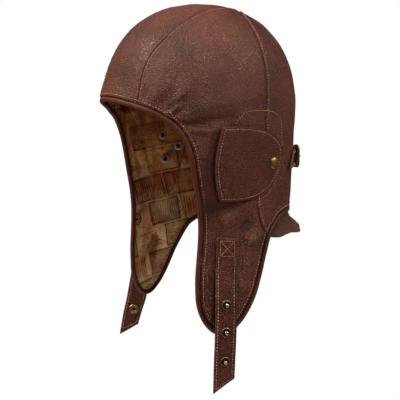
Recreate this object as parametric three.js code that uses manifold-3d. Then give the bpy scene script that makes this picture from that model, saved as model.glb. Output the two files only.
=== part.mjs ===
import * as THREE from 'three';
import Module from 'manifold-3d';

// A leather flying helmet with ear flaps, unfastened chin straps and a nape strap.
// Millimetres. The face opening looks to -Y, the wearer's left is +X, up is +Z.
// Every layer follows one surface, read by two numbers: turn is the bearing in degrees
// (0 at the forehead, 90 over the wearer's left ear, 180 at the nape) and drop is the way
// down (0 where the crown seams meet, 1 at the widest level, then 1 more for each 100 mm).

const leatherThick = 1.6;
const liningThick = 0.9;
const layerGap = 0.5;
const seamGap = 0.2;
const seatGap = 0.35;
const strapThick = 2.2;
const strapWidth = 22;
const binding = { reach: 5.2, clear: 0.3, lift: -1.5, halfHeight: 2.58 };

const crown = {
  top: 3, height: 108.3, power: 2.22, seamsMeetBehind: 46,
  halfWidth: 87.2, frontReach: 104.3, backReach: 105.5, frontPower: 2.15, backPower: 2,
};
const widestLevel = crown.top - crown.height;

const levels = [
  { depth: 0, halfWidth: 87.2, centre: 0, front: 104.3, back: 105.5 },
  { depth: 30, halfWidth: 87.0, centre: 0, front: 102.0, back: 104.5 },
  { depth: 65, halfWidth: 86.0, centre: 1, front: 97.0, back: 101.0 },
  { depth: 100, halfWidth: 85.5, centre: 4, front: 94.0, back: 95.0 },
  { depth: 130, halfWidth: 86.5, centre: 7, front: 94.0, back: 92.0 },
  { depth: 160, halfWidth: 88.0, centre: 9, front: 95.0, back: 92.0 },
  { depth: 195, halfWidth: 88.5, centre: 10, front: 95.0, back: 92.0 },
  { depth: 230, halfWidth: 87.0, centre: 10, front: 94.0, back: 92.0 },
];

// The forehead edge stands a little out from the brow and fades into the temples.
const foreheadFlare = { lift: 3.4, fromDrop: 0.84, toDrop: 0.97, fadeDrop: 1.3, halfTurn: 34 };

// Folds and dents pressed into the leather, the same on both sides of the head.
// across and along are the half widths in mm, tilt leans the long way over from upright.
const folds = [
  { turn: 38, drop: 0.885, across: 5, along: 15, tilt: 18, height: 1.3 },
  { turn: 45, drop: 0.905, across: 4, along: 14, tilt: 30, height: -1.2 },
  { turn: 51, drop: 0.930, across: 4, along: 14, tilt: 42, height: 1.2 },
  { turn: 67, drop: 0.965, across: 5, along: 20, tilt: 84, height: 1.5 },
  { turn: 68, drop: 1.045, across: 5, along: 19, tilt: 86, height: -1.8 },
  { turn: 66, drop: 1.130, across: 5, along: 14, tilt: 70, height: 1.0 },
  { turn: 121, drop: 1.550, across: 5, along: 42, tilt: -4, height: 1.8 },
  { turn: 127, drop: 1.800, across: 4, along: 20, tilt: -6, height: -1.6 },
  { turn: 87, drop: 2.080, across: 9, along: 13, tilt: 60, height: -2.2 },
  { turn: 91, drop: 2.280, across: 8, along: 15, tilt: 50, height: 2.4 },
  { turn: 85, drop: 2.420, across: 7, along: 16, tilt: 30, height: -1.8 },
  { turn: 140, drop: 1.800, across: 5, along: 18, tilt: 4, height: 1.6 },
  { turn: 155, drop: 1.780, across: 5, along: 18, tilt: -3, height: 1.5 },
  { turn: 171, drop: 1.800, across: 5, along: 18, tilt: 2, height: 1.6 },
];

// Seam and edge rows of the ear side, from the crown to the tip of the flap.
// The front edge is the forehead seam down to row 8, then the edge of the face opening.
// The back edge is the ear seam down to row 22, then the back edge of the flap.
const sideRows = [
  { front: 62.0, frontDrop: 0.012, back: 88.0, backDrop: 0.012, nape: 0.012 },
  { front: 60.0, frontDrop: 0.160, back: 88.5, backDrop: 0.160, nape: 0.160 },
  { front: 56.5, frontDrop: 0.280, back: 91.0, backDrop: 0.270, nape: 0.270 },
  { front: 46.0, frontDrop: 0.415, back: 97.2, backDrop: 0.425, nape: 0.420 },
  { front: 38.5, frontDrop: 0.535, back: 100.0, backDrop: 0.550, nape: 0.545 },
  { front: 33.8, frontDrop: 0.640, back: 102.0, backDrop: 0.640, nape: 0.635 },
  { front: 29.7, frontDrop: 0.725, back: 103.2, backDrop: 0.725, nape: 0.720 },
  { front: 27.2, frontDrop: 0.825, back: 103.6, backDrop: 0.825, nape: 0.820 },
  { front: 26.5, frontDrop: 0.957, back: 103.5, backDrop: 0.935, nape: 0.930 },
  { front: 33.0, frontDrop: 0.968, back: 103.3, backDrop: 0.985, nape: 0.980 },
  { front: 39.5, frontDrop: 0.985, back: 103.0, backDrop: 1.040, nape: 1.035 },
  { front: 45.3, frontDrop: 1.009, back: 103.0, backDrop: 1.100, nape: 1.090 },
  { front: 49.2, frontDrop: 1.061, back: 103.2, backDrop: 1.160, nape: 1.140 },
  { front: 52.6, frontDrop: 1.125, back: 103.8, backDrop: 1.220, nape: 1.195 },
  { front: 55.2, frontDrop: 1.198, back: 104.5, backDrop: 1.285, nape: 1.250 },
  { front: 57.1, frontDrop: 1.277, back: 105.2, backDrop: 1.355, nape: 1.305 },
  { front: 58.5, frontDrop: 1.380, back: 105.6, backDrop: 1.440, nape: 1.370 },
  { front: 59.1, frontDrop: 1.500, back: 105.0, backDrop: 1.540, nape: 1.450 },
  { front: 59.6, frontDrop: 1.650, back: 101.4, backDrop: 1.670, nape: 1.550 },
  { front: 60.2, frontDrop: 1.860, back: 96.6, backDrop: 1.860, nape: 1.700 },
  { front: 60.0, frontDrop: 2.050, back: 97.7, backDrop: 2.040, nape: 1.850 },
  { front: 59.2, frontDrop: 2.163, back: 100.2, backDrop: 2.150, nape: 1.955 },
  { front: 58.4, frontDrop: 2.260, back: 103.6, backDrop: 2.235, nape: 2.035 },
  { front: 57.4, frontDrop: 2.360, back: 100.7, backDrop: 2.335 },
  { front: 56.3, frontDrop: 2.480, back: 97.1, backDrop: 2.460 },
  { front: 55.4, frontDrop: 2.620, back: 93.7, backDrop: 2.600 },
  { front: 55.1, frontDrop: 2.760, back: 90.0, backDrop: 2.755 },
  { front: 55.4, frontDrop: 2.872, back: 86.6, backDrop: 2.875 },
  { front: 57.0, frontDrop: 2.975, back: 83.0, backDrop: 2.970 },
  { front: 59.9, frontDrop: 3.071, back: 79.0, backDrop: 3.060 },
  { front: 64.0, frontDrop: 3.145, back: 73.5, backDrop: 3.140 },
];
// The right flap is broader at the back and its hem climbs more slowly to the nape.
const rightBackFromRow = 18;
const rightBackRows = [
  { back: 102.4, backDrop: 1.680 },
  { back: 100.2, backDrop: 1.885 },
  { back: 101.0, backDrop: 2.090 },
  { back: 103.0, backDrop: 2.245 },
  { back: 105.4, backDrop: 2.385 },
  { back: 102.0, backDrop: 2.455 },
  { back: 98.6, backDrop: 2.535 },
  { back: 95.0, backDrop: 2.630 },
  { back: 90.3, backDrop: 2.758 },
];
const foreheadRow = 8;
const notchRow = 22;
const foreheadRise = 0.019;
const tipSag = 0.022;
const leftHem = { power: 6.8, gain: 100 };
const rightHem = { power: 1.87, gain: 8 };
const columns = { front: 6, side: 6, back: 8 };

// The ear cover, a D laid over the ear with its free edge to the front.
const coverOutline = [
  { turn: 73.8, drop: 1.095 }, { turn: 72.2, drop: 1.200 }, { turn: 70.5, drop: 1.324 },
  { turn: 69.2, drop: 1.455 }, { turn: 69.0, drop: 1.618 }, { turn: 69.6, drop: 1.720 },
  { turn: 70.4, drop: 1.821 }, { turn: 77.6, drop: 1.832 }, { turn: 85.7, drop: 1.836 },
  { turn: 92.0, drop: 1.828 }, { turn: 97.0, drop: 1.808 }, { turn: 102.0, drop: 1.770 },
  { turn: 107.0, drop: 1.715 }, { turn: 111.0, drop: 1.645 }, { turn: 114.2, drop: 1.560 },
  { turn: 116.0, drop: 1.470 }, { turn: 116.2, drop: 1.380 }, { turn: 114.4, drop: 1.300 },
  { turn: 109.6, drop: 1.230 }, { turn: 104.4, drop: 1.175 }, { turn: 98.6, drop: 1.140 },
  { turn: 91.5, drop: 1.115 }, { turn: 84.0, drop: 1.100 },
];
const coverMiddle = { turn: 90, drop: 1.47 };
const coverLift = {
  edge: 0.6, front: 1.9, frontFrom: 96, frontTo: 72, middle: 2.0, power: 2.5, rings: [1, 0.86, 0.6, 0.3],
};
const coverSnap = { turn: 107.6, drop: 1.490, radius: 6.4, height: 3.2, lift: 1.65 };
const eyelets = [
  { turn: 89.5, drop: 1.352 },
  { turn: 100.6, drop: 1.486 },
  { turn: 90.6, drop: 1.628 },
];
const eyelet = { bore: 2.2, barrel: 2.9, hole: 3.3, flange: 5.0, plate: 0.8 };

// The chin straps: how the middle line hangs, and the height of each long edge there.
const leftStrapRows = [
  { x: 84.7, y: -21.6, front: -224.3, back: -226.8 },
  { x: 85.1, y: -21.8, front: -238.0, back: -240.0 },
  { x: 85.6, y: -22.5, front: -251.0, back: -252.5 },
  { x: 87.2, y: -23.8, front: -263.0, back: -264.0 },
  { x: 89.4, y: -25.4, front: -277.0, back: -277.5 },
  { x: 91.1, y: -26.3, front: -292.0, back: -292.0 },
  { x: 92.1, y: -27.1, front: -307.0, back: -307.0 },
  { x: 92.7, y: -27.8, front: -321.0, back: -321.0 },
  { x: 92.9, y: -28.4, front: -336.0, back: -335.0 },
  { x: 92.6, y: -28.8, front: -350.0, back: -347.0 },
  { x: 92.1, y: -28.9, front: -366.0, back: -358.0 },
  { x: 91.6, y: -29.0, front: -383.8, back: -369.5 },
];
// The right strap turns to the front by this many degrees as it hangs clear of the flap.
const rightStrapRows = [
  { x: -84.7, y: -21.6, front: -224.3, back: -226.8, turned: 0 },
  { x: -85.1, y: -21.8, front: -238.0, back: -240.0, turned: 0 },
  { x: -85.7, y: -22.2, front: -251.0, back: -253.5, turned: 0 },
  { x: -87.8, y: -22.8, front: -263.0, back: -267.0, turned: 3 },
  { x: -90.9, y: -23.6, front: -276.0, back: -282.0, turned: 9 },
  { x: -93.6, y: -24.7, front: -290.0, back: -297.0, turned: 18 },
  { x: -95.6, y: -26.0, front: -304.0, back: -311.5, turned: 26 },
  { x: -96.5, y: -28.0, front: -318.0, back: -325.5, turned: 31 },
  { x: -96.7, y: -31.3, front: -334.0, back: -338.5, turned: 33 },
  { x: -96.3, y: -36.3, front: -352.0, back: -350.5, turned: 33 },
  { x: -95.5, y: -41.8, front: -376.3, back: -365.5, turned: 33 },
];
const strapFacing = { side: 0.96, back: 0.28 };
const strapStudHeights = [-291.8, -319.4, -349.8];
const socketHeight = -347;

const skirtRows = [
  { turn: 105.5, bottom: 2.262, flare: -3.4 },
  { turn: 108.5, bottom: 2.272, flare: -2.6 },
  { turn: 112.0, bottom: 2.285, flare: -1.0 },
  { turn: 116.0, bottom: 2.285, flare: 2.5 },
  { turn: 120.5, bottom: 2.275, flare: 4.0 },
  { turn: 125.5, bottom: 2.285, flare: 5.0 },
  { turn: 130.5, bottom: 2.312, flare: 8.5 },
  { turn: 136.0, bottom: 2.335, flare: 12.0 },
  { turn: 142.0, bottom: 2.338, flare: 13.0 },
  { turn: 148.0, bottom: 2.315, flare: 11.0 },
  { turn: 154.0, bottom: 2.300, flare: 11.5 },
  { turn: 160.0, bottom: 2.302, flare: 13.5 },
  { turn: 167.0, bottom: 2.310, flare: 14.0 },
  { turn: 173.5, bottom: 2.318, flare: 13.0 },
  { turn: 180.0, bottom: 2.320, flare: 12.5 },
];
const rightSkirtRows = [
  { turn: 116.0, bottom: 2.352, flare: -3.4 },
  { turn: 119.0, bottom: 2.356, flare: -2.6 },
  { turn: 122.5, bottom: 2.358, flare: -1.0 },
  { turn: 126.5, bottom: 2.350, flare: 2.5 },
  { turn: 131.0, bottom: 2.336, flare: 4.0 },
  { turn: 136.0, bottom: 2.330, flare: 6.0 },
  { turn: 141.0, bottom: 2.335, flare: 9.5 },
  { turn: 146.0, bottom: 2.335, flare: 12.0 },
  { turn: 151.0, bottom: 2.325, flare: 12.0 },
  { turn: 156.5, bottom: 2.320, flare: 11.5 },
  { turn: 162.0, bottom: 2.328, flare: 12.5 },
  { turn: 168.0, bottom: 2.330, flare: 14.0 },
  { turn: 174.0, bottom: 2.325, flare: 13.5 },
];
// Each step is how far down the skirt it lies, and how much of the flare it has.
const skirt = {
  thick: 1.3, caughtAbove: 0.045, topInside: 0.8, hemInside: 1.9,
  steps: [[-0.06, 0], [0.045, 0], [0.22, 0.32], [0.6, 0.55], [1, 1]],
};

const napeStrap = { top: 1.425, bottom: 1.610, lift: 0.7, thick: 2.0 };
const leftTab = { endTop: 137.5, endBottom: 130.0, stop: 152.3 };
const rightStrap = {
  endTop: -137.5, endBottom: -130.0, stop: 150.8, overBar: 3.6, riseFrom: 160.5, riseTo: 154.2,
};
const buckle = {
  turn: 153.4, drop: 1.5175, length: 14.5, width: 22.4, wire: 1.15, bar: 1.0, lift: 6.6, barLift: 2.7,
};

const leatherLook = { color: '#70453c', roughness: 0.48, metalness: 0 };
const coverLook = { color: '#5a3227', roughness: 0.5, metalness: 0 };
const edgeLook = { color: '#623c35', roughness: 0.45, metalness: 0 };
const skirtLook = { color: '#4f3930', roughness: 0.62, metalness: 0 };
const liningLook = { color: '#8a6238', roughness: 0.85, metalness: 0 };
const brassLook = { color: '#9a7a3e', roughness: 0.38, metalness: 1 };
const darkBrassLook = { color: '#5e5236', roughness: 0.45, metalness: 1 };
const steelLook = { color: '#8f8a80', roughness: 0.35, metalness: 1 };

const radians = Math.PI / 180;
const group = new THREE.Group();
group.name = 'leather_flying_helmet';

function mix(a, b, part) {
  return a + (b - a) * part;
}

function smooth(from, to, value) {
  const part = Math.min(1, Math.max(0, (value - from) / (to - from)));
  return part * part * (3 - 2 * part);
}

// A curve through the rows of a table, read at any value of its key column.
function readTable(rows, key, column, at) {
  const last = rows.length - 1;
  if (at <= rows[0][key]) return rows[0][column];
  if (at >= rows[last][key]) return rows[last][column];
  let i = 0;
  while (rows[i + 1][key] < at) i += 1;
  const slope = (j) => {
    const a = rows[Math.max(0, j - 1)];
    const b = rows[Math.min(last, j + 1)];
    return (b[column] - a[column]) / (b[key] - a[key]);
  };
  const span = rows[i + 1][key] - rows[i][key];
  const t = (at - rows[i][key]) / span;
  const ease = t * t * (3 - 2 * t);
  const lead = t * (1 - t) * (1 - t) * span * slope(i);
  const tail = t * t * (1 - t) * span * slope(i + 1);
  return mix(rows[i][column], rows[i + 1][column], ease) + lead - tail;
}

function planRadius(angle) {
  const power = Math.cos(angle) > 0 ? crown.frontPower : crown.backPower;
  const side = Math.abs(Math.sin(angle)) ** power;
  const ahead = Math.abs(Math.cos(angle)) ** power;
  return (side + ahead) ** (-1 / power);
}

function smoothPoint(turn, drop) {
  const angle = turn * radians;
  const radius = planRadius(angle);
  const toFront = Math.cos(angle) > 0;
  if (drop > 1) {
    const depth = (drop - 1) * 100;
    const reach = readTable(levels, 'depth', toFront ? 'front' : 'back', depth);
    const x = readTable(levels, 'depth', 'halfWidth', depth) * radius * Math.sin(angle);
    const y = readTable(levels, 'depth', 'centre', depth) - reach * radius * Math.cos(angle);
    return new THREE.Vector3(x, y, widestLevel - depth);
  }
  const out = Math.sin(drop * Math.PI / 2);
  const edgeReach = toFront ? crown.frontReach : crown.backReach;
  const x = out * crown.halfWidth * radius * Math.sin(angle);
  const y = (1 - out) * crown.seamsMeetBehind - out * edgeReach * radius * Math.cos(angle);
  const power = y < 0 ? crown.frontPower : crown.backPower;
  const reach = y < 0 ? crown.frontReach : crown.backReach;
  const plan = (Math.abs(x / crown.halfWidth) ** power + Math.abs(y / reach) ** power) ** (1 / power);
  const rise = (1 - Math.min(1, plan) ** crown.power) ** (1 / crown.power);
  return new THREE.Vector3(x, y, widestLevel + crown.height * rise);
}

function outward(turn, drop) {
  const low = Math.max(0.012, drop);
  const across = smoothPoint(turn + 0.4, low).sub(smoothPoint(turn - 0.4, low));
  const down = smoothPoint(turn, low + 0.008).sub(smoothPoint(turn, low - 0.008));
  return down.cross(across).normalize();
}

// How far the leather stands out of the smooth surface here, in mm.
function foldHeight(turn, drop) {
  const side = Math.abs(((turn + 540) % 360) - 180);
  const { lift, fromDrop, toDrop, fadeDrop, halfTurn } = foreheadFlare;
  const brow = smooth(fromDrop, toDrop, drop) * smooth(fadeDrop, 1, drop);
  let height = lift * brow * Math.exp(-((side / halfTurn) ** 4));
  for (const fold of folds) {
    const a = (side - fold.turn) * 1.5;
    const b = (drop - fold.drop) * (drop > 1 ? 100 : 150);
    const lean = fold.tilt * radians;
    const across = (a * Math.cos(lean) + b * Math.sin(lean)) / fold.across;
    const along = (b * Math.cos(lean) - a * Math.sin(lean)) / fold.along;
    height += fold.height * Math.exp(-across * across - along * along);
  }
  return height;
}

function layerPoint(turn, drop, lift) {
  const out = outward(turn, drop).multiplyScalar(foldHeight(turn, drop) + lift);
  return smoothPoint(turn, drop).add(out);
}

// One closed body from a list of points and faces; each face lists its corners outward.
function solidGeometry(points, faces) {
  const flat = [];
  for (const face of faces) {
    for (let i = 1; i < face.length - 1; i += 1) {
      for (const corner of [face[0], face[i], face[i + 1]]) {
        flat.push(points[corner].x, points[corner].y, points[corner].z);
      }
    }
  }
  const geometry = new THREE.BufferGeometry();
  geometry.setAttribute('position', new THREE.Float32BufferAttribute(flat, 3));
  geometry.computeVertexNormals();
  return geometry;
}

function signedVolume(geometry) {
  const p = geometry.attributes.position;
  const a = new THREE.Vector3();
  const b = new THREE.Vector3();
  const c = new THREE.Vector3();
  let total = 0;
  for (let i = 0; i < p.count; i += 3) {
    a.fromBufferAttribute(p, i);
    b.fromBufferAttribute(p, i + 1);
    c.fromBufferAttribute(p, i + 2);
    total += a.dot(b.cross(c)) / 6;
  }
  return total;
}

// The same face looking the other way, split along the same diagonal.
function turnedOver(face) {
  return [face[0], ...face.slice(1).reverse()];
}

function faceOut(points, faces) {
  const geometry = solidGeometry(points, faces);
  if (signedVolume(geometry) > 0) return geometry;
  return solidGeometry(points, faces.map(turnedOver));
}

// A thin body between two grids of points of the same size.
function sheetGeometry(outerGrid, innerGrid) {
  const rows = outerGrid.length;
  const cols = outerGrid[0].length;
  const points = [...outerGrid.flat(), ...innerGrid.flat()];
  const outer = (r, c) => r * cols + c;
  const inner = (r, c) => rows * cols + r * cols + c;
  const faces = [];
  for (let r = 0; r < rows - 1; r += 1) {
    for (let c = 0; c < cols - 1; c += 1) {
      faces.push([outer(r, c), outer(r + 1, c), outer(r + 1, c + 1), outer(r, c + 1)]);
      faces.push([inner(r, c), inner(r, c + 1), inner(r + 1, c + 1), inner(r + 1, c)]);
    }
    faces.push([outer(r, 0), inner(r, 0), inner(r + 1, 0), outer(r + 1, 0)]);
    faces.push([outer(r, cols - 1), outer(r + 1, cols - 1), inner(r + 1, cols - 1), inner(r, cols - 1)]);
  }
  for (let c = 0; c < cols - 1; c += 1) {
    faces.push([outer(0, c), outer(0, c + 1), inner(0, c + 1), inner(0, c)]);
    faces.push([outer(rows - 1, c), inner(rows - 1, c), inner(rows - 1, c + 1), outer(rows - 1, c + 1)]);
  }
  return faceOut(points, faces);
}

// A closed section carried along a list of stations; the run may close on itself.
function carriedGeometry(sections, closed) {
  const count = sections.length;
  const sides = sections[0].length;
  const points = sections.flat();
  const at = (s, k) => (s % count) * sides + (k % sides);
  const faces = [];
  for (let s = 0; s < (closed ? count : count - 1); s += 1) {
    for (let k = 0; k < sides; k += 1) {
      faces.push([at(s, k), at(s + 1, k), at(s + 1, k + 1), at(s, k + 1)]);
    }
  }
  if (!closed) {
    const ring = [...Array(sides).keys()];
    faces.push(ring.map((k) => at(0, k)));
    faces.push(ring.map((k) => at(count - 1, sides - 1 - k)));
  }
  return faceOut(points, faces);
}

function mirrored(geometry) {
  const p = geometry.attributes.position;
  const flipped = geometry.clone();
  const q = flipped.attributes.position;
  for (let i = 0; i < p.count; i += 3) {
    for (let k = 0; k < 3; k += 1) {
      const from = i + 2 - k;
      q.setXYZ(i + k, -p.getX(from), p.getY(from), p.getZ(from));
    }
  }
  flipped.computeVertexNormals();
  return flipped;
}

function addPiece(name, geometry, look) {
  const mesh = new THREE.Mesh(geometry, new THREE.MeshStandardMaterial(look));
  mesh.name = name;
  group.add(mesh);
}

// Bodies cut by other bodies.
const solids = await Module();
solids.setup();

function toSolid(geometry) {
  const p = geometry.attributes.position;
  const keys = new Map();
  const vertProperties = [];
  const triVerts = [];
  for (let i = 0; i < p.count; i += 1) {
    const spot = [p.getX(i), p.getY(i), p.getZ(i)];
    const key = spot.map((value) => Math.round(value * 1e4)).join();
    if (!keys.has(key)) {
      keys.set(key, keys.size);
      vertProperties.push(...spot);
    }
    triVerts.push(keys.get(key));
  }
  const kept = [];
  for (let i = 0; i < triVerts.length; i += 3) {
    const [a, b, c] = triVerts.slice(i, i + 3);
    if (a !== b && b !== c && c !== a) kept.push(a, b, c);
  }
  const mesh = new solids.Mesh({
    numProp: 3,
    vertProperties: new Float32Array(vertProperties),
    triVerts: new Uint32Array(kept),
  });
  return new solids.Manifold(mesh);
}

function fromSolid(solid) {
  const mesh = solid.getMesh();
  const points = [];
  for (let i = 0; i < mesh.numVert; i += 1) {
    const v = mesh.vertProperties.slice(i * mesh.numProp, i * mesh.numProp + 3);
    points.push(new THREE.Vector3(v[0], v[1], v[2]));
  }
  const faces = [];
  for (let i = 0; i < mesh.numTri; i += 1) {
    faces.push([...mesh.triVerts.slice(i * 3, i * 3 + 3)]);
  }
  return solidGeometry(points, faces);
}

function cutBy(geometry, cutters) {
  let solid = toSolid(geometry);
  for (const cutter of cutters) solid = solid.subtract(toSolid(cutter));
  return fromSolid(solid);
}

// The places of the panels: grids of turn and drop.
function frontSpots() {
  return sideRows.slice(0, foreheadRow + 1).map((row, r) => {
    const rise = r === foreheadRow ? foreheadRise : foreheadRise * (r / foreheadRow) ** 4;
    return [...Array(columns.front + 1).keys()].map((c) => {
      const part = (c / columns.front) * 2 - 1;
      return { turn: row.front * part, drop: row.frontDrop - rise * (1 - part * part) };
    });
  });
}

// The back edge of a row on the left (side 1) or on the right (side -1).
function backEdge(row, r, side) {
  return (side < 0 && rightBackRows[r - rightBackFromRow]) || row;
}

function sideSpots(side) {
  return sideRows.map((row, r) => {
    const edge = backEdge(row, r, side);
    const sag = r === sideRows.length - 1 ? tipSag : 0;
    return [...Array(columns.side + 1).keys()].map((c) => {
      const part = c / columns.side;
      const bow = 4 * part * (1 - part) * sag;
      const turn = mix(row.front, edge.back, part) * side;
      return { turn, drop: mix(row.frontDrop, edge.backDrop, part) + bow };
    });
  });
}

// How much of the climb from the notch to the nape the hem has made, both from 0 to 1.
function hemRise(part, side) {
  const { power, gain } = side < 0 ? rightHem : leftHem;
  return 1 - (1 - part) ** (power + gain * part * part);
}

function hemDrop(turn, side) {
  const row = sideRows[notchRow];
  const edge = backEdge(row, notchRow, side);
  const part = (turn - edge.back) / (180 - edge.back);
  return mix(edge.backDrop, row.nape, hemRise(part, side));
}

function backSpots(side) {
  return sideRows.slice(0, notchRow + 1).map((row, r) => {
    const edge = backEdge(row, r, side);
    return [...Array(columns.back + 1).keys()].map((c) => {
      const part = (c / columns.back) ** 1.35;
      const drop = mix(edge.backDrop, row.nape, hemRise(part, side));
      return { turn: mix(edge.back, 180, part) * side, drop };
    });
  });
}

// Keeps a small gap where two panels meet along their sides.
function trimSides(grid) {
  for (const row of grid) {
    const last = row.length - 1;
    const first = row[1].clone().sub(row[0]);
    const final = row[last - 1].clone().sub(row[last]);
    row[0].addScaledVector(first, seamGap / first.length());
    row[last].addScaledVector(final, seamGap / final.length());
  }
  return grid;
}

function panelGeometry(spots, lift, thick) {
  const layer = (height) => spots.map((row) => row.map((spot) => layerPoint(spot.turn, spot.drop, height)));
  return sheetGeometry(trimSides(layer(lift)), trimSides(layer(lift - thick)));
}

function leatherPanel(spots) {
  return panelGeometry(spots, 0, leatherThick);
}

function liningPanel(spots) {
  return panelGeometry(spots, -leatherThick - layerGap, liningThick);
}

// The places of the edge from the forehead round one flap to the nape.
function edgeHalf(side) {
  const rows = sideSpots(side);
  const forehead = frontSpots()[foreheadRow].slice(columns.front / 2, columns.front);
  return [
    ...forehead.map((spot) => ({ turn: spot.turn * side, drop: spot.drop })),
    ...rows.slice(foreheadRow).map((row) => row[0]),
    ...rows.at(-1).slice(2, columns.side - 1),
    ...rows.slice(notchRow).reverse().map((row) => row[columns.side]),
    ...backSpots(side)[notchRow].slice(1),
  ];
}

function edgeLoop() {
  return [...edgeHalf(1), ...edgeHalf(-1).slice(1, -1).reverse()];
}

// The roll of leather bound round the whole edge: one length round the face and one
// round the neck, which meet at the tips of the flaps.
function bindingGeometries() {
  const loop = edgeLoop();
  const count = loop.length;
  const edge = loop.map((spot) => layerPoint(spot.turn, spot.drop, binding.lift));
  const halfWidth = (binding.reach - binding.clear) / 2;
  const sections = loop.map((spot, i) => {
    const before = edge[(i + count - 1) % count];
    const after = edge[(i + 1) % count];
    const run = after.clone().sub(before).normalize();
    const up = outward(spot.turn, spot.drop);
    const away = run.clone().cross(up).normalize();
    const lead = edge[i].clone().sub(before).normalize();
    const follow = after.clone().sub(edge[i]).normalize();
    const stretch = 1 / Math.max(0.8, Math.sqrt((1 + lead.dot(follow)) / 2));
    const centre = edge[i].clone().addScaledVector(away, (binding.clear + halfWidth) * stretch);
    return [...Array(6).keys()].map((k) => {
      const angle = k * Math.PI / 3;
      const point = centre.clone().addScaledVector(away, Math.cos(angle) * halfWidth);
      return point.addScaledVector(up, Math.sin(angle) * binding.halfHeight);
    });
  });
  const tip = loop.reduce((best, spot, i) => (spot.turn > 0 && spot.drop > loop[best].drop ? i : best), 1);
  const section = (i) => sections[(i + count) % count].map((point) => point.clone());
  const length = (from, to) => {
    const run = [...Array(to - from + 1).keys()].map((i) => section(from + i));
    const drawBack = (end, next) => end.forEach((point, k) => {
      const inwards = next[k].clone().sub(point);
      point.addScaledVector(inwards, seamGap / inwards.length());
    });
    drawBack(run[0], run[1]);
    drawBack(run.at(-1), run.at(-2));
    return carriedGeometry(run, false);
  };
  return { face: length(-tip, tip), neck: length(tip, count - tip) };
}

// The ear cover stands off the leather and swells over the ear.
function coverGeometry() {
  const { rings, edge, front, frontFrom, frontTo, middle: top, power } = coverLift;
  const spotAt = (turn, drop, ring, extra) => {
    const swell = top * (1 - ring ** power) + front * smooth(frontFrom, frontTo, turn);
    return layerPoint(turn, drop, edge + swell + extra);
  };
  const layer = (extra) => rings.map((ring) => coverOutline.map((spot) => {
    const turn = mix(coverMiddle.turn, spot.turn, ring);
    return spotAt(turn, mix(coverMiddle.drop, spot.drop, ring), ring, extra);
  }));
  const middle = (extra) => spotAt(coverMiddle.turn, coverMiddle.drop, 0, extra);
  const count = coverOutline.length;
  const points = [...layer(strapThick).flat(), middle(strapThick), ...layer(0).flat(), middle(0)];
  const half = rings.length * count + 1;
  const faces = [];
  for (let k = 0; k < count; k += 1) {
    const next = (k + 1) % count;
    for (let ring = 0; ring < rings.length - 1; ring += 1) {
      const a = ring * count;
      const b = a + count;
      faces.push([a + k, a + next, b + next, b + k]);
      faces.push([half + a + k, half + b + k, half + b + next, half + a + next]);
    }
    const inmost = (rings.length - 1) * count;
    faces.push([inmost + k, inmost + next, half - 1]);
    faces.push([half + inmost + next, half + inmost + k, half + half - 1]);
    faces.push([half + k, half + next, next, k]);
  }
  return faceOut(points, faces);
}

function turnedGeometry(profile, segments) {
  const outline = profile.map(([radius, height]) => new THREE.Vector2(radius, height));
  const onAxis = profile[0][0] === 0;
  if (!onAxis) outline.push(outline[0].clone());
  const geometry = new THREE.LatheGeometry(outline, segments).toNonIndexed();
  return fromSolid(toSolid(geometry)).rotateX(Math.PI / 2);
}

// Stands a turned part on a point with its axis along the given direction.
function stand(geometry, point, axis) {
  const helper = Math.abs(axis.z) > 0.9 ? new THREE.Vector3(0, 1, 0) : new THREE.Vector3(0, 0, 1);
  const across = helper.cross(axis).normalize();
  const up = axis.clone().cross(across);
  const matrix = new THREE.Matrix4().makeBasis(across, up, axis).setPosition(point);
  return geometry.applyMatrix4(matrix);
}

function onCap(geometry, turn, drop, lift) {
  return stand(geometry, layerPoint(turn, drop, lift), outward(turn, drop));
}

function snapCap() {
  const { radius, height } = coverSnap;
  return turnedGeometry([
    [0, 0], [radius, 0], [radius, 0.7], [radius * 0.86, height * 0.62],
    [radius * 0.55, height * 0.9], [0, height],
  ], 16);
}

function eyeletRing() {
  const inside = -leatherThick - layerGap - liningThick - seatGap;
  const { bore, barrel, flange, plate } = eyelet;
  return turnedGeometry([
    [bore, inside - plate], [flange - 0.5, inside - plate], [flange, inside], [barrel, inside],
    [barrel, seatGap], [bore, seatGap],
  ], 12);
}

function eyeletHole() {
  return turnedGeometry([[0, -8], [eyelet.hole, -8], [eyelet.hole, 4], [0, 4]], 12);
}

function strapDirections(side, turned = 0) {
  const about = new THREE.Vector3(0, 0, 1);
  const angle = turned * side * radians;
  return {
    across: new THREE.Vector3(strapFacing.back * side, strapFacing.side, 0).normalize()
      .applyAxisAngle(about, angle),
    out: new THREE.Vector3(strapFacing.side * side, -strapFacing.back, 0).normalize()
      .applyAxisAngle(about, angle),
  };
}

// A chin strap: a flat strip with its own slanted end.
function strapGeometry(rows, side) {
  const grid = (shift) => rows.map((row) => [-1, 0, 1].map((part) => {
    const { across, out } = strapDirections(side, row.turned);
    const height = mix(row.front, row.back, (part + 1) / 2);
    const point = new THREE.Vector3(row.x, row.y, height);
    return point.addScaledVector(across, part * strapWidth / 2).addScaledVector(out, shift);
  }));
  return sheetGeometry(grid(strapThick / 2), grid(-strapThick / 2));
}

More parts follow.
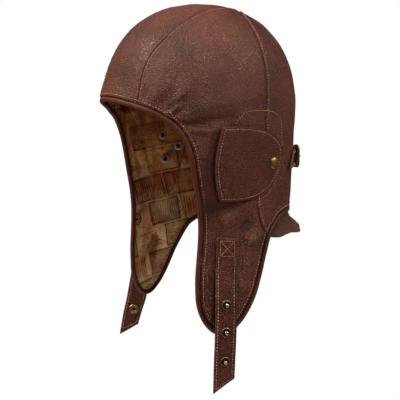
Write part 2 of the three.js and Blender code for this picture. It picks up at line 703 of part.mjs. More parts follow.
function onStrap(geometry, rows, side, height, shift) {
  const middle = rows.map((row) => ({
    height: -(row.front + row.back) / 2, x: row.x, y: row.y, turned: row.turned || 0,
  }));
  const x = readTable(middle, 'height', 'x', -height);
  const y = readTable(middle, 'height', 'y', -height);
  const span = 6;
  const lean = (column) => {
    const above = readTable(middle, 'height', column, -height - span);
    return above - readTable(middle, 'height', column, -height + span);
  };
  const ahead = new THREE.Vector3(lean('x'), lean('y'), 2 * span);
  const { across } = strapDirections(side, readTable(middle, 'height', 'turned', -height));
  const axis = across.cross(ahead).normalize();
  if (axis.x * side * shift < 0) axis.negate();
  const point = new THREE.Vector3(x, y, height).addScaledVector(axis, Math.abs(shift));
  return stand(geometry, point, axis);
}

function strapStud() {
  return turnedGeometry([
    [0, 0], [5.0, 0], [4.3, 1.1], [3.2, 0.7], [1.5, 0.7], [1.4, 2.0],
    [2.1, 3.0], [1.6, 4.1], [0, 4.5],
  ], 12);
}

function snapSocket() {
  return turnedGeometry([
    [2.1, 0], [5.7, 0], [5.6, 0.9], [4.6, 1.9], [3.2, 1.9], [2.1, 1.2],
  ], 14);
}

// The skirt is caught inside the hem and flares out once it is clear of the binding.
function skirtGeometry() {
  const liningFace = -leatherThick - layerGap - liningThick;
  const placed = (rows, side) => rows.map((row) => {
    return { ...row, hem: hemDrop(row.turn, side), turn: row.turn * side };
  });
  const ordered = [...placed(skirtRows, 1), ...placed(rightSkirtRows, -1).reverse()];
  const { caughtAbove, topInside, hemInside } = skirt;
  const grid = (extra) => skirt.steps.map(([step, flared]) => ordered.map((row) => {
    const fall = row.bottom - row.hem - caughtAbove;
    const below = step <= caughtAbove ? step : caughtAbove + fall * step;
    const start = liningFace - (step < 0 ? topInside : hemInside);
    const lift = mix(start, row.flare, flared) + extra;
    const out = outward(row.turn, row.hem + below);
    const flat = new THREE.Vector3(out.x, out.y, 0).normalize();
    const fold = foldHeight(row.turn, row.hem + caughtAbove / 2);
    return smoothPoint(row.turn, row.hem + below).addScaledVector(flat, lift + fold);
  }));
  return sheetGeometry(grid(0), grid(-skirt.thick));
}

// The short tab that holds the buckle, and the long strap that comes round to it.
function napeStrapGeometry(places, liftAt) {
  const rows = [0, 0.5, 1];
  const grid = (extra) => rows.map((part) => places.map((place) => {
    const drop = mix(napeStrap.top, napeStrap.bottom, part);
    const turn = mix(place.top, place.bottom, part);
    return layerPoint(turn, drop, liftAt(turn) + extra);
  }));
  return sheetGeometry(grid(napeStrap.thick), grid(0));
}

function leftTabGeometry() {
  const places = [0, 0.35, 0.7, 1].map((part) => ({
    top: mix(leftTab.endTop, leftTab.stop, part),
    bottom: mix(leftTab.endBottom, leftTab.stop, part),
  }));
  return napeStrapGeometry(places, () => napeStrap.lift);
}

function rightStrapGeometry() {
  const start = { top: rightStrap.endTop + 360, bottom: rightStrap.endBottom + 360 };
  const places = [...Array(16).keys()].map((i) => {
    const part = Math.sin(i / 15 * Math.PI / 2);
    return {
      top: mix(start.top, rightStrap.stop, part),
      bottom: mix(start.bottom, rightStrap.stop, part),
    };
  });
  const { overBar, riseFrom, riseTo } = rightStrap;
  const lift = (turn) => napeStrap.lift + overBar * smooth(riseFrom, riseTo, turn);
  return napeStrapGeometry(places, lift);
}

function wireRing(corners, radius, sides) {
  const count = corners.length;
  const axis = corners[0].clone().sub(corners[1]).cross(corners[2].clone().sub(corners[1])).normalize();
  const sections = corners.map((corner, i) => {
    const before = corner.clone().sub(corners[(i + count - 1) % count]).normalize();
    const after = corners[(i + 1) % count].clone().sub(corner).normalize();
    const run = before.clone().add(after).normalize();
    const side = run.clone().cross(axis).normalize();
    const stretch = 1 / Math.sqrt((1 + before.dot(after)) / 2);
    return [...Array(sides).keys()].map((k) => {
      const angle = (k / sides) * Math.PI * 2;
      const point = corner.clone().addScaledVector(side, Math.cos(angle) * radius * stretch);
      return point.addScaledVector(axis, Math.sin(angle) * radius);
    });
  });
  return carriedGeometry(sections, true);
}

function rodGeometry(from, to, radius) {
  const run = to.clone().sub(from);
  const rod = new THREE.CylinderGeometry(radius, radius, run.length(), 8).toNonIndexed();
  rod.rotateX(Math.PI / 2);
  return stand(fromSolid(toSolid(rod)), from.clone().add(to).multiplyScalar(0.5), run.normalize());
}

function buckleSpot(along, up, lift) {
  const centre = layerPoint(buckle.turn, buckle.drop, 0);
  const out = outward(buckle.turn, buckle.drop);
  const flat = new THREE.Vector3(out.x, out.y, 0).normalize();
  const across = new THREE.Vector3(0, 0, 1).cross(flat);
  const point = centre.addScaledVector(across, along).addScaledVector(flat, lift);
  return point.add(new THREE.Vector3(0, 0, up));
}

// The frame dips towards its middle bar, so the strap can rise over the bar.
function buckleGeometry() {
  const { length, width, wire, lift, barLift } = buckle;
  const corners = [
    [0.5, 0.36], [0.36, 0.5], [0, 0.5], [-0.36, 0.5], [-0.5, 0.36],
    [-0.5, -0.36], [-0.36, -0.5], [0, -0.5], [0.36, -0.5], [0.5, -0.36],
  ].map(([along, up]) => {
    const dip = (lift - barLift) * (1 - Math.abs(along) * 2) ** 1.5;
    return buckleSpot(along * length, up * width, lift - dip);
  });
  const frame = wireRing(corners, wire, 8);
  const bar = rodGeometry(buckleSpot(0, -width / 2, barLift), buckleSpot(0, width / 2, barLift), buckle.bar);
  return fromSolid(toSolid(frame).add(toSolid(bar)));
}

addPiece('front_panel', leatherPanel(frontSpots()), leatherLook);
addPiece('front_lining', liningPanel(frontSpots()), liningLook);
for (const [ending, side] of [['left', 1], ['right', -1]]) {
  const holes = eyelets.map((spot) => onCap(eyeletHole(), spot.turn * side, spot.drop, 0));
  addPiece(`side_panel_${ending}`, cutBy(leatherPanel(sideSpots(side)), holes), leatherLook);
  addPiece(`back_panel_${ending}`, leatherPanel(backSpots(side)), leatherLook);
  addPiece(`side_lining_${ending}`, cutBy(liningPanel(sideSpots(side)), holes), liningLook);
  addPiece(`back_lining_${ending}`, liningPanel(backSpots(side)), liningLook);
}

const bindings = bindingGeometries();
addPiece('face_binding', bindings.face, edgeLook);
addPiece('neck_binding', bindings.neck, edgeLook);
addPiece('neck_skirt', skirtGeometry(), skirtLook);

const cover = coverGeometry();
addPiece('ear_cover_left', cover, coverLook);
addPiece('ear_cover_right', mirrored(cover), coverLook);
const snapLift = coverLift.edge + strapThick + coverSnap.lift;
const earSnap = onCap(snapCap(), coverSnap.turn, coverSnap.drop, snapLift);
addPiece('ear_snap_left', earSnap, brassLook);
addPiece('ear_snap_right', mirrored(earSnap), brassLook);
eyelets.forEach((spot, i) => {
  const ring = onCap(eyeletRing(), spot.turn, spot.drop, 0);
  addPiece(`eyelet_left_${i + 1}`, ring, steelLook);
  addPiece(`eyelet_right_${i + 1}`, mirrored(ring), steelLook);
});

addPiece('chin_strap_left', strapGeometry(leftStrapRows, 1), leatherLook);
addPiece('chin_strap_right', strapGeometry(rightStrapRows, -1), leatherLook);
strapStudHeights.forEach((height, i) => {
  const stud = onStrap(strapStud(), leftStrapRows, 1, height, strapThick / 2 + seatGap);
  addPiece(`chin_stud_${i + 1}`, stud, darkBrassLook);
});
const socket = onStrap(snapSocket(), rightStrapRows, -1, socketHeight, -strapThick / 2 - seatGap);
addPiece('chin_socket', socket, darkBrassLook);

addPiece('nape_strap_left', leftTabGeometry(), leatherLook);
addPiece('nape_strap_right', rightStrapGeometry(), leatherLook);
addPiece('nape_buckle', buckleGeometry(), darkBrassLook);

export default group;
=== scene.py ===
import math

import bmesh
import bpy
import numpy as np
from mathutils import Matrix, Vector


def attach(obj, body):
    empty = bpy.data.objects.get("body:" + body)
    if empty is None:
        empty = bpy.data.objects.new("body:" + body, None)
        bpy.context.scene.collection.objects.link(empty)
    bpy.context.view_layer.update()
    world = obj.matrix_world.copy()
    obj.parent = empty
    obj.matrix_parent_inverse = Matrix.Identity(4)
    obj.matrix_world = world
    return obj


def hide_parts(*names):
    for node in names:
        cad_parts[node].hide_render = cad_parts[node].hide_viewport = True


# A leather flying helmet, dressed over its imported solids. Shapes are worked out in mm on
# the cap's own surface, read by turn (degrees, 0 forehead, 90 left ear, 180 nape) and drop
# (0 crown, 1 widest level, then 1 more per 100 mm), and go into the meshes in metres.
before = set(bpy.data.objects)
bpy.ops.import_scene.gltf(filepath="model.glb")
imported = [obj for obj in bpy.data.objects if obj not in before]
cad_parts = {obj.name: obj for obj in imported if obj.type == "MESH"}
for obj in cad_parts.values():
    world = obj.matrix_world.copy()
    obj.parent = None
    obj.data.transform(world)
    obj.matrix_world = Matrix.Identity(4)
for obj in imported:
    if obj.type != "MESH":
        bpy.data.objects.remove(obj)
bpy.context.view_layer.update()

# Camera
view = {
    "place": (0.7402, -0.4539, -0.0369), "target": (-0.0005, -0.00081, -0.20324),
    "lens": 73.55, "sensor": 36,
}
camera = bpy.data.objects.new("camera", bpy.data.cameras.new("camera"))
bpy.context.collection.objects.link(camera)
camera.location = view["place"]
lookAlong = Vector(view["target"]) - Vector(view["place"])
camera.rotation_euler = lookAlong.to_track_quat("-Z", "Y").to_euler()
camera.data.lens = view["lens"]
camera.data.sensor_width = view["sensor"]
bpy.context.scene.camera = camera


# Small helpers, all on whole arrays
def mixed(a, b, part):
    return a + (b - a) * part


def eased(low, high, value):
    part = np.clip((value - low) / (high - low), 0, 1)
    return part * part * (3 - 2 * part)


# A bell of height 1: falls to about a third one width away from its middle.
def hump(value, width):
    return np.exp(-((value / width) ** 2))


def unit(vectors):
    return vectors / np.maximum(np.linalg.norm(vectors, axis=-1, keepdims=True), 1e-12)


# Cubic through the keys; the slope at each key is that between its two neighbours.
def curveThrough(keys, values, at):
    keys = np.asarray(keys, float)
    values = np.asarray(values, float)
    last = len(keys) - 1
    before = np.maximum(np.arange(last + 1) - 1, 0)
    after = np.minimum(np.arange(last + 1) + 1, last)
    slope = (values[after] - values[before]) / (keys[after] - keys[before])
    at = np.clip(at, keys[0], keys[-1])
    i = np.clip(np.searchsorted(keys, at, side="right") - 1, 0, last - 1)
    span = keys[i + 1] - keys[i]
    t = (at - keys[i]) / span
    flat = mixed(values[i], values[i + 1], t * t * (3 - 2 * t))
    return flat + t * (1 - t) * span * ((1 - t) * slope[i] - t * slope[i + 1])


# A sine along a length in mm that comes round once in every so many mm.
def wave(along, every):
    return np.sin(along * 2 * math.pi / every)


# Slow swells in space, about -1 to 1: sines of the given wavelength in mm, added up along
# six seeded directions.
def swells(points, size, seed):
    rng = np.random.default_rng(seed)
    ways = unit(rng.normal(size=(6, 3)))
    lengths = size * rng.uniform(0.7, 1.6, 6)
    starts = rng.uniform(0, 2 * math.pi, 6)
    phase = points @ ways.T * (2 * math.pi / lengths) + starts
    return np.sin(phase).sum(-1) / 3


def lengthsAlong(points):
    steps = np.linalg.norm(np.diff(points, axis=0), axis=1)
    return np.concatenate([[0], np.cumsum(steps)])


# Distance from each point to a line of points in mm, and how far along the line that is.
def nearest(points, line):
    flat = points.reshape(-1, 3)
    run = np.diff(line, axis=0)
    size = (run ** 2).sum(1)
    starts = lengthsAlong(line)
    distance = np.empty(len(flat))
    along = np.empty(len(flat))
    batch = 4000
    for first in range(0, len(flat), batch):
        part = flat[first:first + batch, None] - line[:-1]
        t = np.clip((part * run).sum(2) / size, 0, 1)
        gap = ((part - t[..., None] * run) ** 2).sum(2)
        best = gap.argmin(1)
        rows = np.arange(len(best))
        distance[first:first + batch] = np.sqrt(gap[rows, best])
        along[first:first + batch] = starts[best] + t[rows, best] * np.sqrt(size[best])
    return distance.reshape(points.shape[:-1]), along.reshape(points.shape[:-1])


# The cap's smooth form, an egg over an oval and upright ovals below it
crown = {
    "top": 3, "height": 108.3, "power": 2.22, "seamsMeetBehind": 46,
    "halfWidth": 87.2, "frontReach": 104.3, "backReach": 105.5, "frontPower": 2.15, "backPower": 2,
}
widestLevel = crown["top"] - crown["height"]
levels = {
    "depth": [0, 30, 65, 100, 130, 160, 195, 230],
    "halfWidth": [87.2, 87.0, 86.0, 85.5, 86.5, 88.0, 88.5, 87.0],
    "centre": [0, 0, 1, 4, 7, 9, 10, 10],
    "front": [104.3, 102.0, 97.0, 94.0, 94.0, 95.0, 95.0, 94.0],
    "back": [105.5, 104.5, 101.0, 95.0, 92.0, 92.0, 92.0, 92.0],
}
eyelets = {"turn": [89.5, 100.6, 90.6], "drop": [1.352, 1.486, 1.628], "inside": -3.35, "hole": 2.6}
leather = {"thick": 1.6, "liningGap": 0.5, "liningThick": 0.9, "strapThick": 2.2}
# The sign of x on each side, and the ending of its nodes' names.
hands = ((1, "_left"), (-1, "_right"))


# Above the widest level a point runs from the crown to the oval as the sine of drop, and its
# height is the egg's at that place in plan. Below, the ovals of the levels table are read.
def smoothPoint(turn, drop):
    turn, drop = np.broadcast_arrays(np.asarray(turn, float), np.asarray(drop, float))
    s, c = np.sin(np.radians(turn)), np.cos(np.radians(turn))
    power = np.where(c > 0, crown["frontPower"], crown["backPower"])
    radius = (np.abs(s) ** power + np.abs(c) ** power) ** (-1 / power)
    out = np.sin(np.clip(drop, 0, 1) * math.pi / 2)
    edgeReach = np.where(c > 0, crown["frontReach"], crown["backReach"])
    x = out * crown["halfWidth"] * radius * s
    y = (1 - out) * crown["seamsMeetBehind"] - out * edgeReach * radius * c
    planPower = np.where(y < 0, crown["frontPower"], crown["backPower"])
    reach = np.where(y < 0, crown["frontReach"], crown["backReach"])
    plan = np.abs(x / crown["halfWidth"]) ** planPower + np.abs(y / reach) ** planPower
    plan = plan ** (1 / planPower)
    rise = (1 - np.clip(plan, 0, 1) ** crown["power"]) ** (1 / crown["power"])
    depth = np.maximum(drop - 1, 0) * 100
    at = {name: curveThrough(levels["depth"], levels[name], depth) for name in levels}
    lowX = at["halfWidth"] * radius * s
    lowY = at["centre"] - np.where(c > 0, at["front"], at["back"]) * radius * c
    low = drop > 1
    z = np.where(low, widestLevel - depth, widestLevel + crown["height"] * rise)
    return np.stack([np.where(low, lowX, x), np.where(low, lowY, y), z], -1)


def outward(turn, drop):
    low = np.maximum(0.03, drop)
    across = smoothPoint(turn + 0.5, low) - smoothPoint(turn - 0.5, low)
    down = smoothPoint(turn, low + 0.01) - smoothPoint(turn, low - 0.01)
    return unit(np.cross(down, across))


# The forehead edge stands off the brow. It begins and is full at drops above the edge, then
# fades and is gone below it.
brow = {"lift": 3.4, "begins": 0.84, "full": 0.97, "fades": 1.0, "gone": 1.3, "halfTurn": 34}

# Mm of surface for a degree of turn, and for a drop of 1 above and below the widest level.
foldScale = {"perDegree": 1.5, "perDropAbove": 150, "perDropBelow": 100}

# The folds of the solids: turn, drop, half width across and along in mm, tilt, height.
folds = [
    (38, 0.885, 5, 15, 18, 1.3), (45, 0.905, 4, 14, 30, -1.2), (51, 0.930, 4, 14, 42, 1.2),
    (67, 0.965, 5, 20, 84, 1.5), (68, 1.045, 5, 19, 86, -1.8), (66, 1.130, 5, 14, 70, 1.0),
    (121, 1.550, 5, 42, -4, 1.8), (127, 1.800, 4, 20, -6, -1.6),
    (87, 2.080, 9, 13, 60, -2.2), (91, 2.280, 8, 15, 50, 2.4), (85, 2.420, 7, 16, 30, -1.8),
    (140, 1.800, 5, 18, 4, 1.6), (155, 1.780, 5, 18, -3, 1.5), (171, 1.800, 5, 18, 2, 1.6),
]


def foldHeight(turn, drop):
    side = np.abs((np.asarray(turn, float) + 540) % 360 - 180)
    height = brow["lift"] * eased(brow["begins"], brow["full"], drop)
    height = height * np.exp(-((side / brow["halfTurn"]) ** 4)) * eased(brow["gone"], brow["fades"], drop)
    perDrop = np.where(np.asarray(drop) > 1, foldScale["perDropBelow"], foldScale["perDropAbove"])
    for foldTurn, foldDrop, acrossWidth, alongWidth, tilt, rise in folds:
        a = (side - foldTurn) * foldScale["perDegree"]
        b = (drop - foldDrop) * perDrop
        lean = math.radians(tilt)
        across = (a * math.cos(lean) + b * math.sin(lean)) / acrossWidth
        along = (b * math.cos(lean) - a * math.sin(lean)) / alongWidth
        height = height + rise * np.exp(-(across ** 2) - along ** 2)
    return height


def capPoint(turn, drop, lift):
    height = foldHeight(turn, drop) + lift
    return smoothPoint(turn, drop) + outward(turn, drop) * np.asarray(height)[..., None]


# Seams and edges, row by row as in the solids
sideRows = {
    "front": [
        62, 60, 56.5, 46, 38.5, 33.8, 29.7, 27.2, 26.5, 33, 39.5, 45.3, 49.2, 52.6, 55.2, 57.1,
        58.5, 59.1, 59.6, 60.2, 60, 59.2, 58.4, 57.4, 56.3, 55.4, 55.1, 55.4, 57, 59.9, 64,
    ],
    "frontDrop": [
        0.002, 0.16, 0.28, 0.415, 0.535, 0.64, 0.725, 0.825, 0.957, 0.968, 0.985, 1.009, 1.061,
        1.125, 1.198, 1.277, 1.38, 1.5, 1.65, 1.86, 2.05, 2.163, 2.26, 2.36, 2.48, 2.62, 2.76,
        2.872, 2.975, 3.071, 3.145,
    ],
    "back": [
        88, 88.5, 91, 97.2, 100, 102, 103.2, 103.6, 103.5, 103.3, 103, 103, 103.2, 103.8, 104.5,
        105.2, 105.6, 105, 101.4, 96.6, 97.7, 100.2, 103.6, 100.7, 97.1, 93.7, 90, 86.6, 83, 79,
        73.5,
    ],
    "backDrop": [
        0.002, 0.16, 0.27, 0.425, 0.55, 0.64, 0.725, 0.825, 0.935, 0.985, 1.04, 1.1, 1.16, 1.22,
        1.285, 1.355, 1.44, 1.54, 1.67, 1.86, 2.04, 2.15, 2.235, 2.335, 2.46, 2.6, 2.755, 2.875,
        2.97, 3.06, 3.14,
    ],
    "nape": [
        0.002, 0.16, 0.27, 0.42, 0.545, 0.635, 0.72, 0.82, 0.93, 0.98, 1.035, 1.09, 1.14, 1.195,
        1.25, 1.305, 1.37, 1.45, 1.55, 1.7, 1.85, 1.955, 2.035,
    ],
}
# The right flap is broader at the back from row 18 to 26, and its hem climbs more slowly.
rightBack = [102.4, 100.2, 101.0, 103.0, 105.4, 102.0, 98.6, 95.0, 90.3]
rightBackDrop = [1.68, 1.885, 2.09, 2.245, 2.385, 2.455, 2.535, 2.63, 2.758]
rightRows = sideRows | {
    "back": sideRows["back"][:18] + rightBack + sideRows["back"][27:],
    "backDrop": sideRows["backDrop"][:18] + rightBackDrop + sideRows["backDrop"][27:],
}
rowsOf = {1: sideRows, -1: rightRows}
hemOf = {1: {"power": 6.8, "gain": 100}, -1: {"power": 1.87, "gain": 8}}
foreheadRow = 8
notchRow = 22
tipRow = 30
foreheadRise = 0.019
tipSag = 0.022
seamStep = 2


# A column of the table read between its rows, with a corner kept sharp at one row.
def rowCurve(column, row, corner, side=1):
    values = rowsOf[side][column]
    keys = np.arange(len(values))
    first = curveThrough(keys[:corner + 1], values[:corner + 1], row)
    if corner >= len(values) - 1:
        return first
    return np.where(row < corner, first, curveThrough(keys[corner:], values[corner:], row))


def frontSpots(row, part, side=1):
    across = part * 2 - 1
    rise = foreheadRise * (row / foreheadRow) ** 4 * (1 - across ** 2)
    return rowCurve("front", row, foreheadRow) * across, rowCurve("frontDrop", row, foreheadRow) - rise


# The places of a panel on one side, 1 left and -1 right; turn itself stays positive.
def sideSpots(row, part, side):
    bow = 4 * part * (1 - part) * tipSag * eased(tipRow - 2, tipRow, row)
    turn = mixed(rowCurve("front", row, foreheadRow), rowCurve("back", row, notchRow, side), part)
    backDrop = rowCurve("backDrop", row, notchRow, side)
    return turn, mixed(rowCurve("frontDrop", row, foreheadRow), backDrop, part) + bow


def hemRise(part, side):
    return 1 - (1 - part) ** (hemOf[side]["power"] + hemOf[side]["gain"] * part ** 2)


def backSpots(row, part, side):
    rise = hemRise(part, side)
    drop = mixed(rowCurve("backDrop", row, notchRow, side), rowCurve("nape", row, notchRow), rise)
    return mixed(rowCurve("back", row, notchRow, side), 180, part), drop


# Row numbers close enough together for a step in mm along the longest side of a panel.
def denseRows(spots, first, last, step, side):
    rows = np.arange(first, last + 1)
    turn, drop = spots(rows[:, None], np.array([[0, 0.5, 1]]), side)
    lengths = np.linalg.norm(np.diff(smoothPoint(turn, drop), axis=0), axis=2).max(1)
    total = np.concatenate([[0], np.cumsum(lengths)])
    return np.interp(np.linspace(0, total[-1], int(total[-1] / step) + 1), total, rows)


# Parts from 0 to 1, a little closer together at both ends.
def denseParts(count):
    t = np.linspace(0, 1, count)
    return mixed(t, 0.5 - 0.5 * np.cos(math.pi * t), 0.35)


def edgeLine(spots, rows, parts, side):
    turn, drop = spots(np.asarray(rows, float), np.asarray(parts, float), side)
    return np.broadcast_arrays(turn, drop)


# One line in turn and drop, put together from several and read again at even steps in mm.
def joinedLine(lines, step):
    turn = np.concatenate([line[0] for line in lines])
    drop = np.concatenate([line[1] for line in lines])
    total = lengthsAlong(smoothPoint(turn, drop))
    keep = np.concatenate([[True], np.diff(total) > 1e-6])
    even = np.linspace(0, total[-1], int(total[-1] / step) + 1)
    return np.interp(even, total[keep], turn[keep]), np.interp(even, total[keep], drop[keep])


# The lines of one side: its seams from the crown down, and the rim from forehead to nape.
def linesOf(side):
    t = np.linspace(0, 1, 400)
    rim = [
        edgeLine(frontSpots, foreheadRow, mixed(0.5, 1, t), side),
        edgeLine(sideSpots, mixed(foreheadRow, tipRow, t), 0, side),
        edgeLine(sideSpots, tipRow, t, side),
        edgeLine(sideSpots, mixed(tipRow, notchRow, t), 1, side),
        edgeLine(backSpots, notchRow, t, side),
    ]
    return {
        "forehead": joinedLine([edgeLine(frontSpots, t * foreheadRow, 1, side)], seamStep),
        "ear": joinedLine([edgeLine(sideSpots, t * notchRow, 1, side)], seamStep),
        "nape": joinedLine([edgeLine(backSpots, t * notchRow, 1, side)], seamStep),
        "rim": joinedLine(rim, seamStep),
    }


seamLines = {side: linesOf(side) for side in (1, -1)}
seamPoints = {side: {k: smoothPoint(*line) for k, line in seamLines[side].items()} for side in (1, -1)}

# Creases that the leather has taken: from turn, drop, to turn, drop, width in mm, height.
creases = [
    (43.5, 0.985, 55.0, 0.925, 2.4, -1.30), (44.5, 1.000, 52.5, 0.945, 2.0, 0.90),
    (47.0, 0.998, 55.5, 0.958, 1.7, -0.75), (49.0, 1.005, 57.0, 0.985, 2.0, 0.70),
    (50.5, 1.020, 60.0, 1.035, 2.4, 0.85), (53.0, 1.065, 70.5, 1.108, 2.8, -1.70),
    (55.0, 1.085, 66.0, 1.135, 3.6, 0.70), (41.5, 0.920, 47.0, 0.850, 5.0, 1.10),
    (31.5, 0.885, 31.0, 0.950, 3.4, -1.00), (35.5, 0.950, 40.0, 0.895, 2.6, 0.70),
    (38.5, 0.962, 43.0, 0.930, 1.8, -0.60), (65.0, 1.220, 63.5, 1.460, 4.5, 0.60),
    (70.5, 2.060, 82.5, 1.950, 8.0, 1.90), (75.5, 2.180, 73.5, 1.960, 7.0, 1.20),
    (83.5, 2.180, 92.0, 2.070, 5.5, -2.30), (80.5, 2.340, 86.0, 2.200, 4.0, -1.50),
    (85.5, 2.280, 94.5, 2.240, 5.0, 2.20), (82.5, 2.460, 87.0, 2.470, 6.0, 1.50),
    (79.5, 2.590, 82.0, 2.390, 4.0, -1.20), (96.0, 2.370, 100.5, 2.240, 3.5, -1.20),
    (62.0, 1.960, 66.5, 1.860, 6.0, -1.30), (78.5, 2.740, 83.0, 2.670, 6.0, 1.00),
    (71.0, 2.530, 80.6, 2.465, 5.0, 0.70), (88.0, 2.330, 96.0, 2.300, 2.4, -0.60),
    (109.5, 2.030, 124.0, 1.915, 3.0, -0.70), (119.5, 1.080, 124.0, 1.900, 2.6, 0.70),
    (122.5, 1.200, 127.5, 1.900, 2.2, -0.80), (133.0, 1.700, 136.0, 1.920, 4.0, 0.80),
    (148.0, 1.650, 147.0, 1.920, 4.5, 0.70), (163.0, 1.640, 162.0, 1.920, 4.5, 0.80),
    (121.6, 1.640, 124.6, 1.940, 1.0, 1.00), (123.6, 1.640, 126.2, 1.940, 1.2, -0.90),
    (125.6, 1.640, 127.8, 1.930, 1.0, 0.90), (57.5, 1.180, 66.5, 1.165, 2.4, -0.70),
    (61.0, 1.560, 66.5, 1.620, 2.6, -0.50), (62.0, 1.760, 67.0, 1.790, 2.4, 0.50),
    (94.0, 1.960, 101.0, 2.100, 3.0, 0.50),
]
relief = {
    "seamDip": 0.85, "seamWidth": 0.65, "rimDip": 0.9, "rimWidth": 1.0, "creaseEnds": 0.25,
    "foreheadBand": 0.35, "foreheadBandWidth": 4.6, "foreheadBandEnd": 0.97,
    "earBand": 0.7, "earBandEnd": 2.26, "napeBand": 0.3, "bandWidth": 5.0,
    "stitchDip": 0.24, "stitchReach": 1.0, "pucker": 0.14, "puckerEvery": 3.6, "pullEvery": 9.7,
    "swell": 0.8, "swellSize": 62, "fineSwell": 0.28, "fineSwellSize": 23,
    "flatUnderCover": 0.85, "bandUnderCover": 0.7, "shadeAtCover": 0.36,
}
stitchPlace = {"forehead": 2.3, "ear": 2.5, "nape": 2.4, "rim": 3.1}


# The ear cover's outline, which the leather below needs too
cover = {
    "turn": [73.8, 72.2, 70.5, 69.2, 69, 69.6, 70.4, 77.6, 85.7, 92, 97, 102, 107, 111, 114.2, 116, 116.2,
             114.4, 109.6, 104.4, 98.6, 91.5, 84, 73.8],
    "drop": [1.095, 1.2, 1.324, 1.455, 1.618, 1.72, 1.821, 1.832, 1.836, 1.828, 1.808, 1.77, 1.715, 1.645,
             1.56, 1.47, 1.38, 1.3, 1.23, 1.175, 1.14, 1.115, 1.1, 1.095],
    "corner": 6, "middleTurn": 90, "middleDrop": 1.47, "edge": 1.0, "front": 3.2, "middle": 2.0,
    "stitch": 0.925, "rings": 44, "edgeRings": 20, "around": 260, "frontTurns": (96, 72),
    "swellPower": 2.5, "mmPerRing": 36, "rounding": 0.45, "roundingWidth": 0.45,
    "pucker": 0.08, "puckerEvery": 3.6, "pullEvery": 11, "stitchDip": 0.4,
}


# The D's outline at even steps, with its two front corners kept sharp.
def coverOutline(count):
    corner = cover["corner"]
    lines = []
    for first, last in ((0, corner), (corner, len(cover["turn"]) - 1)):
        keys = np.arange(first, last + 1)
        at = np.linspace(first, last, 60 * (last - first))
        turns, drops = cover["turn"][first:last + 1], cover["drop"][first:last + 1]
        lines.append((curveThrough(keys, turns, at), curveThrough(keys, drops, at)))
    turn, drop = np.concatenate([lines[0], lines[1]], 1)
    total = lengthsAlong(smoothPoint(turn, drop))
    keep = np.concatenate([[True], np.diff(total) > 1e-9])
    even = np.linspace(0, total[-1], count + 1)[:-1]
    return np.interp(even, total[keep], turn[keep]), np.interp(even, total[keep], drop[keep])


coverLine = smoothPoint(*coverOutline(200))
coverLine = np.concatenate([coverLine, coverLine[:1]])


# The same places on the wearer's left.
def onLeft(points):
    return points * np.where(points[..., :1] < 0, [-1, 1, 1], 1)


# How far it is to the nearest eyelet's axis in mm.
def toEyelet(turn, drop):
    centres = smoothPoint(eyelets["turn"], eyelets["drop"])
    half = onLeft(smoothPoint(turn, drop))
    return np.min([np.linalg.norm(half - centre, axis=-1) for centre in centres], 0)


# A band with soft sides from just beside a seam to the given width.
def band(distance, width):
    return eased(0.3, 1.4, distance) * eased(width, width - 1.2, distance)


# Which side's lines a panel reads; the middle panel reads the left side's for both halves.
def handOf(turn):
    return -1 if turn.mean() < -1 else 1


# The height of a list of creases in mm; each is lower by its two ends.
def creaseHeight(points, rows, atEnds):
    height = np.zeros(points.shape[:-1])
    t = np.linspace(0, 1, 10)
    for fromTurn, fromDrop, toTurn, toDrop, width, rise in rows:
        line = smoothPoint(mixed(fromTurn, toTurn, t), mixed(fromDrop, toDrop, t))
        distance, reach = nearest(points, line)
        taper = 1 - np.abs(2 * reach / lengthsAlong(line)[-1] - 1) ** 3
        height = height + rise * hump(distance, width) * mixed(atEnds, 1, taper)
    return height
